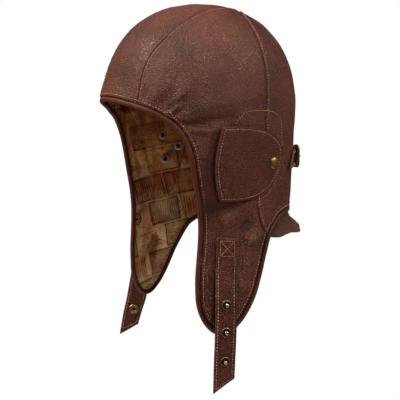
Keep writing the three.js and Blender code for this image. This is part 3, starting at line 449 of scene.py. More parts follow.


# How far the leather stands off the smooth form in mm, how far it is to the next seam or
# edge, made shorter beside the cover's outline so that the finish paints shade there, and the
# fine part of the height alone: creases, slow swells, a groove at each seam,
# the raised band of leather beside it, and the small puckers that each row of stitches draws.
def leatherHeight(turn, drop):
    turn, drop = np.broadcast_arrays(np.asarray(turn, float), np.asarray(drop, float))
    side = np.abs((turn + 540) % 360 - 180)
    here = smoothPoint(turn, drop)
    half = onLeft(here)
    hand = handOf(turn)
    far = {}
    along = {}
    for name, line in seamPoints[hand].items():
        far[name], along[name] = nearest(half, line)
    toSeam = np.minimum(np.minimum(far["forehead"], far["ear"]), far["nape"])
    rows = rowsOf[hand]
    foreheadEnd, notchEnd = foreheadRow + 1, notchRow + 1
    onSide = side > np.interp(drop, rows["frontDrop"][:foreheadEnd], rows["front"][:foreheadEnd])
    onBack = side > np.interp(drop, rows["backDrop"][:notchEnd], rows["back"][:notchEnd])
    detail = relief["swell"] * swells(here, relief["swellSize"], 3)
    detail = detail + relief["fineSwell"] * swells(here, relief["fineSwellSize"], 8)
    detail = detail + creaseHeight(half, creases, relief["creaseEnds"])
    toCover = nearest(half, coverLine)[0]
    underCover = eased(66, 71, side) * eased(118, 113, side)
    underCover = underCover * eased(1.03, 1.12, drop) * eased(1.92, 1.83, drop)
    detail = detail * (1 - relief["flatUnderCover"] * underCover)
    foreheadBand = band(far["forehead"], relief["foreheadBandWidth"])
    detail = detail + relief["foreheadBand"] * foreheadBand * (onSide & (drop < relief["foreheadBandEnd"]))
    earBand = band(far["ear"], relief["bandWidth"]) * (onBack & (drop < relief["earBandEnd"]))
    detail = detail + relief["earBand"] * earBand * (1 - relief["bandUnderCover"] * underCover)
    detail = detail + relief["napeBand"] * band(far["nape"], relief["bandWidth"])
    detail = detail - relief["seamDip"] * hump(toSeam, relief["seamWidth"])
    detail = detail - relief["rimDip"] * hump(far["rim"], relief["rimWidth"])
    for name, place in stitchPlace.items():
        beside = hump(far[name] - place, relief["stitchReach"])
        waves = wave(along[name], relief["puckerEvery"]) + 0.8 * wave(along[name], relief["pullEvery"])
        detail = detail + beside * (relief["pucker"] * waves - relief["stitchDip"])
    # Beside the cover's outline the distance is scaled down, so the leather is painted darker there as
    # painted shade.
    toEdge = np.minimum(np.minimum(toSeam, far["rim"]), toCover * relief["shadeAtCover"])
    return foldHeight(turn, drop) + detail, toEdge, detail


# Meshes

def meshVolume(points, faces):
    points = points.reshape(-1, 3)
    a, b, c, d = (points[faces[:, k]] for k in range(4))
    return (a * np.cross(b, c)).sum() + (a * np.cross(c, d)).sum()


# Puts a mesh into the scene with smooth faces and its material, fixed to the part's root.
def addPiece(name, mesh, material):
    mesh.polygons.foreach_set("use_smooth", np.ones(len(mesh.polygons), bool))
    mesh.materials.append(material)
    piece = bpy.data.objects.new(name, mesh)
    bpy.context.collection.objects.link(piece)
    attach(piece, "root")
    return piece


# A mesh from points in mm and faces of point numbers, turned to face outwards by its volume.
def makePiece(name, points, faces, material, marks=None, uv=None, sharp=None):
    points = points.reshape(-1, 3) / 1000
    if meshVolume(points, faces) < 0:
        faces = faces[:, ::-1]
    mesh = bpy.data.meshes.new(name)
    mesh.from_pydata(points.tolist(), [], faces.tolist())
    for mark, values in (marks or {}).items():
        values = values.ravel().astype(np.float32)
        mesh.attributes.new(mark, "FLOAT", "POINT").data.foreach_set("value", values)
    if uv is not None:
        corners = np.empty(len(mesh.loops), np.int32)
        mesh.loops.foreach_get("vertex_index", corners)
        mesh.uv_layers.new(name="cloth").data.foreach_set("uv", uv.reshape(-1, 2)[corners].ravel())
    sewn = bmesh.new()
    sewn.from_mesh(mesh)
    bmesh.ops.remove_doubles(sewn, verts=sewn.verts, dist=1e-7)
    bmesh.ops.dissolve_degenerate(sewn, edges=sewn.edges, dist=1e-8)
    sewn.to_mesh(mesh)
    sewn.free()
    piece = addPiece(name, mesh, material)
    if sharp:
        mesh.set_sharp_from_angle(angle=math.radians(sharp))
    return piece


# A closed body between two grids, with a rounded wall: the wall's middle line is pushed out
# by bulge, away from the grid's inside. Also gives the grid place that each point comes from.
def closedSheet(outer, inner, bulge):
    rows, cols = outer.shape[:2]
    count = rows * cols
    index = np.arange(count).reshape(rows, cols)
    quads = np.stack([index[:-1, :-1], index[1:, :-1], index[1:, 1:], index[:-1, 1:]], -1).reshape(-1, 4)
    border = np.concatenate([index[0, :-1], index[:-1, -1], index[-1, :0:-1], index[:0:-1, 0]])
    r, c = np.divmod(border, cols)
    inside = index[np.clip(r, 1, rows - 2), np.clip(c, 1, cols - 2)]
    top, bottom = outer.reshape(-1, 3), inner.reshape(-1, 3)
    middle = (top[border] + bottom[border]) / 2 + unit(top[border] - top[inside]) * bulge
    ring = 2 * count + np.arange(len(border))
    ahead, ringAhead = np.roll(border, -1), np.roll(ring, -1)
    upperWall = np.stack([border, ahead, ringAhead, ring], -1)
    lowerWall = np.stack([ring, ringAhead, ahead + count, border + count], -1)
    faces = np.concatenate([quads, quads[:, ::-1] + count, upperWall, lowerWall])
    source = np.concatenate([np.arange(count), np.arange(count), border])
    return np.concatenate([top, bottom, middle]), faces, source


# A piece that is the closed body between two grids; its marks are given on the grid.
def makeSheet(name, outer, inner, bulge, material, marks, uv=None):
    points, faces, source = closedSheet(outer, inner, bulge)
    grid = outer.shape[:2]
    marks = {mark: np.broadcast_to(values, grid).ravel()[source] for mark, values in marks.items()}
    if uv is not None:
        uv = uv.reshape(-1, 2)[source]
    return makePiece(name, points, faces, material, marks, uv)


# A closed section carried along a run of stations; sections is stations by corners by 3.
def carried(sections, closed):
    stations, corners = sections.shape[:2]
    index = np.arange(stations * corners).reshape(stations, corners)
    ahead = np.roll(index, -1, 0)
    if not closed:
        index, ahead = index[:-1], ahead[:-1]
    side, sideAhead = np.roll(index, -1, 1), np.roll(ahead, -1, 1)
    return np.stack([index, ahead, sideAhead, side], -1).reshape(-1, 4)


# Distance from each place of a grid to the grid's border in mm, and how far round that is.
def toBorder(grid):
    outline = np.concatenate([grid[0], grid[:, -1], grid[-1, ::-1], grid[::-1, 0]])
    apart = np.linalg.norm(np.diff(outline, axis=0), axis=1) > 1e-6
    return nearest(grid, outline[np.concatenate([[True], apart])])


# The relief of a strap's face: how far it is to the border in mm, the rounding of the edge, the
# dip and puckers that the stitches make, and that dip with slow swells added.
def strapRelief(grid, form, seed):
    toEdge, along = toBorder(grid)
    rounding = -form["rounding"] * hump(toEdge, 0.7)
    drawn = hump(toEdge - form["stitch"], 0.9) * (form["pucker"] * wave(along, 3.5) - form["stitchDip"])
    return toEdge, rounding, drawn, drawn + form["swell"] * swells(grid, form["swellSize"], seed)


# The direction square to two others, on the side that out points to.
def facing(a, b, out):
    face = unit(np.cross(a, b))
    return face * np.sign((face * out).sum(-1, keepdims=True))


# A turned part: a profile of radius and height spun round an axis that stands on a point.
def turnedPiece(name, profile, centre, axis, material, segments):
    wide, high = np.array(profile, float).T
    axis = unit(np.asarray(axis, float))
    helper = np.array([0, 1, 0]) if abs(axis[2]) > 0.9 else np.array([0, 0, 1])
    across = unit(np.cross(helper, axis))
    up = np.cross(axis, across)
    angle = np.linspace(0, 2 * math.pi, segments, endpoint=False)[:, None, None]
    outwards = np.cos(angle) * across + np.sin(angle) * up
    points = centre + wide[None, :, None] * outwards + high[None, :, None] * axis
    marks = {"high": np.tile(high, segments), "wide": np.tile(wide, segments)}
    return makePiece(name, points, carried(points, True), material, marks, sharp=50)


# Threads: short bent capsules along lines on a surface. Each stitch rises from just under the
# leather to its crown and dips again; its rings are five-sided and lie across its run.
threadShape = {
    "pitch": 3.1, "length": 2.1, "radius": 0.35, "sides": 5,
    "at": np.array([0, 0.14, 0.5, 0.86, 1]), "lift": np.array([-0.4, 0.2, 0.36, 0.2, -0.4]),
    "girth": np.array([0.6, 1, 1, 1, 0.6]),
}


def stitchPoints(line, normals, pitch=threadShape["pitch"], length=threadShape["length"]):
    total = lengthsAlong(line)
    count = max(1, int((total[-1] + pitch - length) / pitch))
    margin = (total[-1] - (count - 1) * pitch - length) / 2
    at = margin + pitch * np.arange(count)[:, None] + length * threadShape["at"]
    place = np.stack([np.interp(at, total, line[:, k]) for k in range(3)], -1)
    up = unit(np.stack([np.interp(at, total, normals[:, k]) for k in range(3)], -1))
    run = unit(np.repeat(place[:, -1:] - place[:, :1], len(threadShape["at"]), 1))
    across = unit(np.cross(up, run))
    middle = place + up * threadShape["lift"][:, None]
    angle = np.arange(threadShape["sides"]) * 2 * math.pi / threadShape["sides"]
    girth = (threadShape["radius"] * threadShape["girth"])[None, :, None, None]
    ring = np.cos(angle)[:, None] * across[:, :, None] + np.sin(angle)[:, None] * up[:, :, None]
    return middle[:, :, None] + girth * ring


def makeStitches(name, rows, thread, **sizes):
    blocks = np.concatenate([stitchPoints(line, normals, **sizes) for line, normals in rows])
    count, rings, sides = blocks.shape[:3]
    index = np.arange(rings * sides).reshape(rings, sides)
    ahead, side = index[1:], np.roll(index, -1, 1)
    walls = np.stack([index[:-1], ahead, side[1:], side[:-1]], -1).reshape(-1, 4)
    first, last = index[0], index[-1]
    ends = np.array([
        [first[0], first[1], first[2], first[3]], [first[0], first[3], first[4], first[4]],
        [last[3], last[2], last[1], last[0]], [last[4], last[3], last[0], last[0]],
    ])
    one = np.concatenate([walls, ends])
    faces = (one[None] + np.arange(count)[:, None, None] * rings * sides).reshape(-1, 4)
    corners = [face[:3] if face[3] == face[2] else face for face in faces.tolist()]
    mesh = bpy.data.meshes.new(name)
    mesh.from_pydata((blocks.reshape(-1, 3) / 1000).tolist(), [], corners)
    if meshVolume(blocks, faces) < 0:
        mesh.flip_normals()
    return addPiece(name, mesh, thread)


# Places on the cap moved sideways along the surface by a length in mm, to the left of the
# line's own run seen from outside: the step is split into turn and drop by least squares.
def besideLine(turn, drop, sideways):
    here = smoothPoint(turn, drop)
    run = unit(np.gradient(here, axis=0))
    left = np.cross(outward(turn, drop), run)
    turnStep, dropStep = 0.5, 0.004
    perTurn = smoothPoint(turn + turnStep, drop) - smoothPoint(turn - turnStep, drop)
    perDrop = (smoothPoint(turn, drop + dropStep) - smoothPoint(turn, drop - dropStep)) / (2 * dropStep)
    turnTurn, dropDrop = (perTurn ** 2).sum(1), (perDrop ** 2).sum(1)
    turnDrop = (perTurn * perDrop).sum(1)
    turnLeft, dropLeft = (perTurn * left).sum(1), (perDrop * left).sum(1)
    both = np.maximum(turnTurn * dropDrop - turnDrop * turnDrop, 1e-9)
    moreTurn = sideways * (turnLeft * dropDrop - dropLeft * turnDrop) / both
    moreDrop = sideways * (dropLeft * turnTurn - turnLeft * turnDrop) / both
    return turn + moreTurn, drop + moreDrop


# A row of stitches on the leather: the line in turn and drop, read every mm.
def leatherRow(turn, drop):
    turn, drop = joinedLine([(np.asarray(turn, float), np.asarray(drop, float))], 1.0)
    height = leatherHeight(turn, drop)[0]
    up = outward(turn, drop)
    return smoothPoint(turn, drop) + up * height[:, None], up


# Shader wires

# Wraps a socket so that sums on it add Math nodes to its tree.
class Wire:
    def __init__(self, socket):
        self.socket = socket

    def math(self, operation, *values):
        tree = self.socket.id_data
        node = tree.nodes.new("ShaderNodeMath")
        node.operation = operation
        for socket, value in zip(node.inputs, values):
            plug(socket, value)
        return Wire(node.outputs[0])

    def __rsub__(self, other):
        return self.math("SUBTRACT", other, self)


# The operators and words that a wire knows, each with its Math node.
wireSums = {
    "__add__": "ADD", "__sub__": "SUBTRACT", "__mul__": "MULTIPLY", "__truediv__": "DIVIDE",
    "__pow__": "POWER", "below": "LESS_THAN", "above": "GREATER_THAN", "most": "MAXIMUM",
    "size": "ABSOLUTE", "whole": "FLOOR", "rest": "FRACT",
}


def sumMethod(operation):
    return lambda wire, *others: wire.math(operation, wire, *others)


for word, operation in wireSums.items():
    setattr(Wire, word, sumMethod(operation))


def plug(socket, value):
    if isinstance(value, Wire):
        socket.id_data.links.new(value.socket, socket)
    elif value is not None:
        socket.default_value = value


class Finish:
    def __init__(self, name):
        self.material = bpy.data.materials.new(name)
        self.material.use_nodes = True
        self.tree = self.material.node_tree
        self.tree.nodes.clear()
        self.place = self.node("ShaderNodeTexCoord", out="Object")

    # Any node: its type, the settings that come first, its sockets' values, and the output.
    def node(self, kind, settings=None, values=None, out=0):
        node = self.tree.nodes.new(kind)
        for name, value in (settings or {}).items():
            setattr(node, name, value)
        for name, value in (values or {}).items():
            plug(node.inputs[name], value)
        return Wire(node.outputs[out])

    def noise(self, scale, detail=2.0, rough=0.5, place=None):
        values = {"Vector": place or self.place, "Scale": scale, "Detail": detail, "Roughness": rough}
        return self.node("ShaderNodeTexNoise", {}, values)

    # A value from 0 to 1 drawn for each place, always the same there.
    def chance(self, place):
        return self.node("ShaderNodeTexWhiteNoise", {"noise_dimensions": "3D"}, {"Vector": place})

    def ease(self, value, low, high, start=0.0, end=1.0):
        values = {"Value": value, "From Min": low, "From Max": high, "To Min": start, "To Max": end}
        return self.node("ShaderNodeMapRange", {"interpolation_type": "SMOOTHSTEP"}, values)

    def blend(self, a, b, factor):
        node = self.tree.nodes.new("ShaderNodeMix")
        node.data_type = "RGBA"
        for socket, value in ((0, factor), (6, a), (7, b)):
            plug(node.inputs[socket], value)
        return Wire(node.outputs[2])

    def mark(self, name):
        return self.node("ShaderNodeAttribute", {"attribute_name": name}, out="Fac")

    def bump(self, height, distance, strength=1.0):
        values = {"Height": height, "Distance": distance, "Strength": strength}
        return self.node("ShaderNodeBump", {}, values)

    def surface(self, **values):
        names = {
            "colour": "Base Color", "rough": "Roughness", "metal": "Metallic", "normal": "Normal",
            "gloss": "Specular IOR Level", "tint": "Specular Tint", "alpha": "Alpha",
        }
        given = {names[k]: v for k, v in values.items() if v is not None}
        shader = self.node("ShaderNodeBsdfPrincipled", {}, given)
        output = self.tree.nodes.new("ShaderNodeOutputMaterial")
        plug(output.inputs["Surface"], shader)
        return self.material


# A colour given as it looks on a screen, 0 to 255.
def tone(r, g, b):
    parts = [v / 255 for v in (r, g, b)]
    return tuple(v / 12.92 if v < 0.04045 else ((v + 0.055) / 1.055) ** 2.4 for v in parts) + (1,)


# Grained leather: pebbles about two millimetres across, each with its own shade, and fine
# pores; three tones drift over the hide. Painted shade darkens it along seams, edges and the
# cover's outline and in crease hollows; pebble tops are lighter in slow patches, as rubbed wear
# and painted sheen, with darker patches as painted shade.
# The mark shade holds painted shade, and the leather is clear inside the eyelets' holes.
def leatherFinish(name, look, holes=False):
    f = Finish(name)
    push = f.node("ShaderNodeTexNoise", {}, {"Vector": f.place, "Scale": 420.0}, out="Color")
    bent = f.node("ShaderNodeVectorMath", {"operation": "ADD"}, {
        0: f.place, 1: f.node("ShaderNodeVectorMath", {"operation": "SCALE"}, {0: push, "Scale": 0.0012}),
    })
    cells = {"Vector": bent, "Scale": look["grain"]}
    pebble = f.node("ShaderNodeTexVoronoi", {"feature": "DISTANCE_TO_EDGE"}, cells)
    cellColour = f.node("ShaderNodeTexVoronoi", {}, cells, out="Color")
    shade = f.node("ShaderNodeSeparateColor", {}, {"Color": cellColour})
    pore = f.node("ShaderNodeTexVoronoi", {}, {"Vector": bent, "Scale": look["grain"] * 2.3})
    dome = f.ease(pebble, 0.02, 0.32)
    hide = f.noise(14, 3, 0.55)
    patches = f.noise(42, 3, 0.6)
    colour = f.blend(look["dark"], look["mid"], f.ease(hide * 0.5 + patches * 0.5, 0.3, 0.56))
    # Painted sheen: slow patches where pebble tops are painted lighter, together with rubbed wear.
    paintedSheen = f.ease(f.noise(11, 1), 0.4, 0.62, 0.35, 1.0)
    rubbedAndSheen = f.ease(patches, 0.3, 0.6, 0.5, 1.0) * f.ease(shade, 0.0, 0.8, 0.5, 1.0) * paintedSheen
    colour = f.blend(colour, look["light"], dome * rubbedAndSheen * look["speckle"])
    colour = f.blend(colour, look["dark"], (1 - dome) * look["valley"])
    # Painted shade: slow darker patches, the shaded side of the painted sheen.
    colour = f.blend(colour, look["dark"], f.ease(f.noise(19, 1), 0.46, 0.3) * 0.4)
    # Painted shade: darker along seams, edges, the cover's outline and the binding's turned-in side; on the
    # skirt this tone is the own colour of its cut lower edge.
    shadeAndEdge = f.ease(f.mark("toEdge"), 0.1, 1.1, 1.0, 0.0)
    colour = f.blend(colour, look["shadeAndEdge"], shadeAndEdge * look["shadeAndEdgeDepth"])
    worn = f.ease(f.mark("relief"), 0.2, 1.3) * f.ease(dome, 0.2, 0.9)
    colour = f.blend(colour, look["light"], worn * look["wear"])
    # Painted shade in the hollows of creases and of the skirt's ruffles.
    colour = f.blend(colour, look["shadeAndEdge"], f.ease(f.mark("relief"), -0.3, -1.8) * 0.6)
    rough = f.ease(hide, 0.35, 0.75, look["rough"] - 0.04, look["rough"] + 0.08)
    rough = rough + (1 - dome) * 0.12 + f.mark("shade") * 0.5
    height = dome + f.ease(pore, 0.0, 0.5) * 0.2
    shown = f.mark("fromHole").above(eyelets["hole"]) if holes else None
    colour = f.blend(colour, tone(20, 8, 5), f.mark("shade") * 0.92)
    return f.surface(
        colour=colour, rough=rough, normal=f.bump(height, look["bump"]), gloss=look["gloss"],
        tint=tone(255, 230, 210), alpha=shown,
    )


# Looks
capLook = {
    "dark": tone(82, 31, 18), "mid": tone(128, 55, 35), "light": tone(178, 106, 80),
    "shadeAndEdge": tone(40, 16, 11), "shadeAndEdgeDepth": 0.85, "grain": 520.0, "speckle": 0.75, "valley": 0.9,
    "wear": 0.5, "rough": 0.4, "bump": 0.0005, "gloss": 1.0,
}
coverLook = capLook | {
    "dark": tone(70, 24, 14), "mid": tone(112, 44, 27), "light": tone(170, 92, 66), "speckle": 0.8,
    "rough": 0.42, "bump": 0.0006, "grain": 500.0, "gloss": 0.8,
}
bindingLook = capLook | {
    "dark": tone(84, 38, 26), "mid": tone(114, 58, 43), "light": tone(144, 88, 68), "speckle": 0.2,
    "bump": 0.0002, "rough": 0.38, "valley": 0.3, "gloss": 0.4,
}
strapLook = capLook | {
    "dark": tone(76, 31, 18), "mid": tone(116, 52, 34), "light": tone(156, 88, 62), "speckle": 0.75,
    "bump": 0.0004, "rough": 0.44, "valley": 0.8, "gloss": 0.7,
}
skirtLook = capLook | {
    "dark": tone(76, 48, 36), "mid": tone(104, 71, 55), "light": tone(134, 100, 82), "speckle": 0.4,
    "shadeAndEdge": tone(116, 56, 42), "shadeAndEdgeDepth": 0.5, "bump": 0.0002, "rough": 0.6, "gloss": 0.25,
    "valley": 0.4,
}


# Waxed cotton thread: ochre with darker lengths.
def threadFinish(name, dark, light):
    f = Finish(name)
    worn = f.noise(320, 2)
    colour = f.blend(dark, light, f.ease(worn, 0.35, 0.65))
    twist = f.noise(2600, 1)
    return f.surface(colour=colour, rough=0.62, normal=f.bump(twist, 0.0001, 0.6), gloss=0.3)


paleThread = threadFinish("pale_thread", tone(176, 126, 98), tone(236, 190, 158))
brownThread = threadFinish("brown_thread", tone(160, 106, 78), tone(214, 158, 124))
goldThread = threadFinish("gold_thread", tone(176, 122, 80), tone(222, 168, 122))


# Printed cotton: an old ledger-like patchwork of framed fields with ruled dashes, rings,
# stars and solid blocks, in brown ink on tan that has darkened unevenly. It is painted darker towards
# the back of the head and its top and lighter low down, as painted shade and painted light, and
# its fold hollows and seams are darker as painted shade.
def liningFinish():
    f = Finish("printed_cotton")
    field = {"wide": 41.0, "high": 30.0, "frame": 2.0, "ink": 0.75, "tilt": math.radians(-7)}
    flat = f.node("ShaderNodeUVMap", {"uv_map": "cloth"})
    turned = {"Vector": flat, "Angle": field["tilt"]}
    flat = f.node("ShaderNodeVectorRotate", {"rotation_type": "Z_AXIS"}, turned)
    split = f.tree.nodes.new("ShaderNodeSeparateXYZ")
    plug(split.inputs[0], flat)
    wobble = f.noise(90, 2)
    u = Wire(split.outputs[0]) * 1000 + wobble * 1.2
    v = Wire(split.outputs[1]) * 1000 + wobble * 1.0
    row = (v / field["high"]).whole()
    column = u / field["wide"] + (row * 0.377).rest()
    x = (column.rest() - 0.5) * field["wide"]
    y = ((v / field["high"]).rest() - 0.5) * field["high"]
    cell = f.node("ShaderNodeCombineXYZ", {}, {0: column.whole(), 1: row, 2: 3.7})
    pick = f.chance(cell)
    moved = f.node("ShaderNodeVectorMath", {"operation": "ADD"}, {0: cell, 1: (7.3, 2.9, 1.1)})
    other = f.chance(moved)
    fromEdgeX = x.size() - (field["wide"] / 2 - field["frame"])
    fromEdgeY = y.size() - (field["high"] / 2 - field["frame"])
    box = fromEdgeX.most(fromEdgeY)
    outerFrame = box.size().below(field["ink"]) * other.above(0.3)
    innerFrame = (box + 2.0).size().below(0.3) * other.above(0.55)
    inside = box.below(-2.6)
    lineStep, dashStep = 2.6, 1.7
    dashCell = {0: (x / dashStep).whole(), 1: (y / lineStep).whole(), 2: pick * 10}
    dash = f.chance(f.node("ShaderNodeCombineXYZ", {}, dashCell))
    ruled = ((y / lineStep).rest() - 0.5).size().below(0.24) * dash.above(0.3) * inside
    ruled = ruled * pick.below(0.42) * 0.9
    radius = (x * x + y * y) ** 0.5
    ring = (radius - 6.8).size().below(0.7).most((radius - 4.2).size().below(0.5)).most(radius.below(1.7))
    ring = ring * pick.above(0.42) * pick.below(0.54)
    star = (x * y).size().below(2.2) * radius.below(8.5) * pick.above(0.54) * pick.below(0.66)
    block = box.below(-9.5) * pick.above(0.86)
    bars = ((x / 3.1).rest() - 0.5).size().below(0.13) * inside * pick.above(0.72) * pick.below(0.84)
    contour = ((f.noise(17, 2) * 9).rest() - 0.5).size().below(0.05)
    ink = outerFrame
    for drawn in (innerFrame, ruled, ring, star, block, bars, contour * 0.5):
        ink = ink.most(drawn)
    ink = ink * f.ease(f.noise(150, 3, 0.7), 0.25, 0.55, 0.45, 1.0)
    ink = ink * f.ease(f.noise(33, 2), 0.34, 0.56, 0.6, 1.0)
    stain = f.noise(24, 4, 0.6)
    tall = f.node("ShaderNodeSeparateXYZ", {}, {0: f.place}, out="Z") + stain * 0.03
    low = f.ease(tall, -0.13, -0.23)
    back = f.node("ShaderNodeSeparateXYZ", {}, {0: f.place}, out="Y")
    paper = f.blend(tone(184, 100, 42), tone(248, 180, 102), f.ease(stain, 0.4, 0.58))
    # Painted light: the paper is painted lighter low down.
    paintedLowLight = f.blend(tone(236, 156, 98), tone(255, 216, 156), f.ease(stain, 0.36, 0.58))
    paper = f.blend(paper, paintedLowLight, low)
    paper = f.blend(paper, tone(140, 64, 26), f.ease(other, 0.2, 1.0) * 0.6)
    paper = f.blend(paper, tone(104, 42, 10), f.ease(f.noise(52, 4, 0.65), 0.52, 0.68) * (0.8 - low * 0.35))
    # Painted shade in the hollows of the lining's folds.
    paper = f.blend(paper, tone(72, 30, 12), f.ease(f.mark("relief"), 0.3, -0.5) * 0.75)
    # Painted shade towards the top and the back of the head.
    paper = f.blend(paper, tone(112, 58, 24), f.ease(tall, -0.17, -0.08) * 0.5)
    paper = f.blend(paper, tone(112, 50, 22), f.ease(back, 0.0, 0.04) * 0.7)
    colour = f.blend(paper, tone(26, 12, 8), ink * 0.95)
    # Painted shade along the lining's seams and edges.
    colour = f.blend(colour, tone(52, 26, 12), f.ease(f.mark("toEdge"), 0.0, 1.1, 0.6, 0.0))
    shown = f.mark("fromHole").above(eyelets["hole"])
    threadsPerMm = 1.9
    weave = ((u * threadsPerMm).rest() - 0.5).size() + ((v * threadsPerMm).rest() - 0.5).size()
    normal = f.bump(weave + stain * 3, 0.00012, 0.5)
    return f.surface(colour=colour, rough=0.85, normal=normal, gloss=0.2, alpha=shown)


# Aged metal under a dark film that noise eats away. Clean gives the heights between which the
# film ends and the radius beyond which it thins; hole is the radius inside which the metal is painted
# near-black as painted shade in an opening.
def metalFinish(name, bright, film, rough, filmAmount, clean=None, hole=None):
    f = Finish(name)
    cloud = f.noise(260, 4, 0.6)
    speck = f.noise(1400, 2, 0.7)
    cover = f.ease(cloud * 0.7 + speck * 0.3, 0.62 - filmAmount * 0.3, 0.68 - filmAmount * 0.1)
    if clean:
        lowest, highest, reach = clean
        dull = f.ease(f.mark("high"), lowest, highest, 1.0, 0.0)
        cover = cover.most(dull * f.ease(f.mark("wide"), reach, reach + 0.4, 1.0, 0.5))
    colour = f.blend(bright, film, cover)
    # Painted shade: the inside of the opening is painted near-black.
    if hole:
        colour = f.blend(colour, tone(10, 8, 7), f.ease(f.mark("wide"), hole + 0.25, hole))
    scratch = f.node("ShaderNodeMapping", {}, {"Vector": f.place, "Scale": (300, 3200, 900)})
    fine = f.noise(1.0, 2, 0.5, scratch)
    dullness = f.ease(cover + fine * 0.4, 0.0, 1.4, rough, rough + 0.3)
    normal = f.bump(speck + fine, 0.00003, 0.6)
    return f.surface(colour=colour, metal=1.0 - cover * 0.35, rough=dullness, normal=normal)


capLeather = leatherFinish("cap_leather", capLook, holes=True)
coverLeather = leatherFinish("cover_leather", coverLook)
bindingLeather = leatherFinish("binding_leather", bindingLook)
strapLeather = leatherFinish("strap_leather", strapLook)
skirtLeather = leatherFinish("skirt_leather", skirtLook)
liningCloth = liningFinish()
brass = metalFinish("aged_brass", tone(196, 158, 88), tone(124, 94, 46), 0.4, 0.4)
darkBrass = metalFinish("antique_brass", tone(206, 180, 124), tone(84, 68, 44), 0.3, 0.6)
studBrass = metalFinish("stud_brass", tone(226, 206, 160), tone(52, 38, 22), 0.28, 0.15, (1.9, 2.4, 4.2))
socketBrass = metalFinish("socket_brass", tone(210, 178, 112), tone(44, 32, 18), 0.34, 0.4, (0.45, 0.9, 4.0))
steel = metalFinish("eyelet_steel", tone(255, 253, 248), tone(180, 174, 166), 0.45, 0.1, hole=2.35)
print("finishes ready")


# How the chin straps hang, which the leather behind them needs too
strap = {
    "width": 22, "sideways": 0.96, "back": 0.28, "stitch": 3.0, "step": 1.4, "columns": 22,
    "rounding": 0.55, "pucker": 0.07, "stitchDip": 0.22, "swell": 0.16, "swellSize": 24,
}
strapRows = {
    "_left": {
        "x": [84.7, 85.1, 85.6, 87.2, 89.4, 91.1, 92.1, 92.7, 92.9, 92.6, 92.1, 91.6],
        "y": [-21.6, -21.8, -22.5, -23.8, -25.4, -26.3, -27.1, -27.8, -28.4, -28.8, -28.9, -29],
        "front": [-224.3, -238, -251, -263, -277, -292, -307, -321, -336, -350, -366, -383.8],
        "back": [-226.8, -240, -252.5, -264, -277.5, -292, -307, -321, -335, -347, -358, -369.5],
        "turned": [0] * 12,
    },
    "_right": {
        "x": [-84.7, -85.1, -85.7, -87.8, -90.9, -93.6, -95.6, -96.5, -96.7, -96.3, -95.5],
        "y": [-21.6, -21.8, -22.2, -22.8, -23.6, -24.7, -26, -28, -31.3, -36.3, -41.8],
        "front": [-224.3, -238, -251, -263, -276, -290, -304, -318, -334, -352, -376.3],
        "back": [-226.8, -240, -253.5, -267, -282, -297, -311.5, -325.5, -338.5, -350.5, -365.5],
        "turned": [0, 0, 0, 3, 9, 18, 26, 31, 33, 33, 33],
    },
}


# The strap's middle surface, by row number and place across from -1 (front) to 1 (back).
def strapPoint(ending, row, across):
    side = 1 if ending == "_left" else -1
    table = strapRows[ending]
    keys = np.arange(len(table["x"]))
    x, y, front, back = (curveThrough(keys, table[k], row) for k in ("x", "y", "front", "back"))
    turned = np.radians(curveThrough(keys, table["turned"], row))
    angle = math.atan2(strap["sideways"], strap["back"] * side) + side * turned
    wide = np.stack([np.cos(angle), np.sin(angle), 0 * angle], -1)
    out = np.stack([np.sin(angle), -np.cos(angle), 0 * angle], -1) * side
    height = mixed(front, back, (across + 1) / 2)
    middle = np.stack(np.broadcast_arrays(x, y, height), -1)
    cupped = (0.5 * across ** 2 - 0.25) * np.ones_like(height)
    reach = np.asarray(across) * strap["width"] / 2
    return middle + reach[..., None] * wide + cupped[..., None] * out, out


# Panels of the crown and their lining
panels = {"leatherStep": 1.45, "liningStep": 2.3}
panelPlan = {
    "front": (frontSpots, foreheadRow, 100, "front_panel", "front_lining"),
    "side": (sideSpots, tipRow, 112, "side_panel", "side_lining"),
    "back": (backSpots, notchRow, 128, "back_panel", "back_lining"),
}


def panelGrid(spots, lastRow, width, step, side):
    rows = denseRows(spots, 0, lastRow, step, side)[:, None]
    turn, drop = np.broadcast_arrays(*spots(rows, denseParts(int(width / step))[None], side))
    return turn * side, drop


# Painted shade, in mm from the strap's edge and the cover's outline and in turn and drop. The
# band beside the strap is measured along one fixed direction, which is given.
shade = {
    "direction": math.radians(76), "strapRows": 10, "strapEdge": (1.6, -0.4), "strapFar": (-23, -21),
    "strapTop": (-232, -244), "under": 2.1, "underDrop": (1.78, 1.84), "underTurn": (104, 80),
    "beside": 1.2, "besideTurn": (74, 70), "besideEnd": 1.86, "besideDepth": 0.8,
}


# How deep the shade is beside a hanging strap and under or beside a cover's edge, 0 to 1.
def castShade(turn, drop):
    here = onLeft(smoothPoint(turn, drop))
    edge = strapPoint("_left", np.arange(0, shade["strapRows"]), np.full(shade["strapRows"], -1.0))[0]
    sideways = [math.cos(shade["direction"]), math.sin(shade["direction"])]
    ahead = np.interp(-here[..., 2], -edge[:, 2], edge[:, :2] @ sideways) - here[..., :2] @ sideways
    besideStrap = eased(*shade["strapEdge"], ahead) * eased(*shade["strapFar"], ahead)
    besideStrap = besideStrap * eased(*shade["strapTop"], here[..., 2])
    toCover = nearest(here, coverLine)[0]
    side = np.abs(turn)
    underCover = hump(toCover, shade["under"]) * eased(*shade["underDrop"], drop)
    underCover = underCover * eased(*shade["underTurn"], side)
    besideCover = hump(toCover, shade["beside"]) * eased(*shade["besideTurn"], side)
    besideCover = besideCover * (drop < shade["besideEnd"]) * shade["besideDepth"]
    return np.maximum(np.maximum(besideStrap, underCover), besideCover)


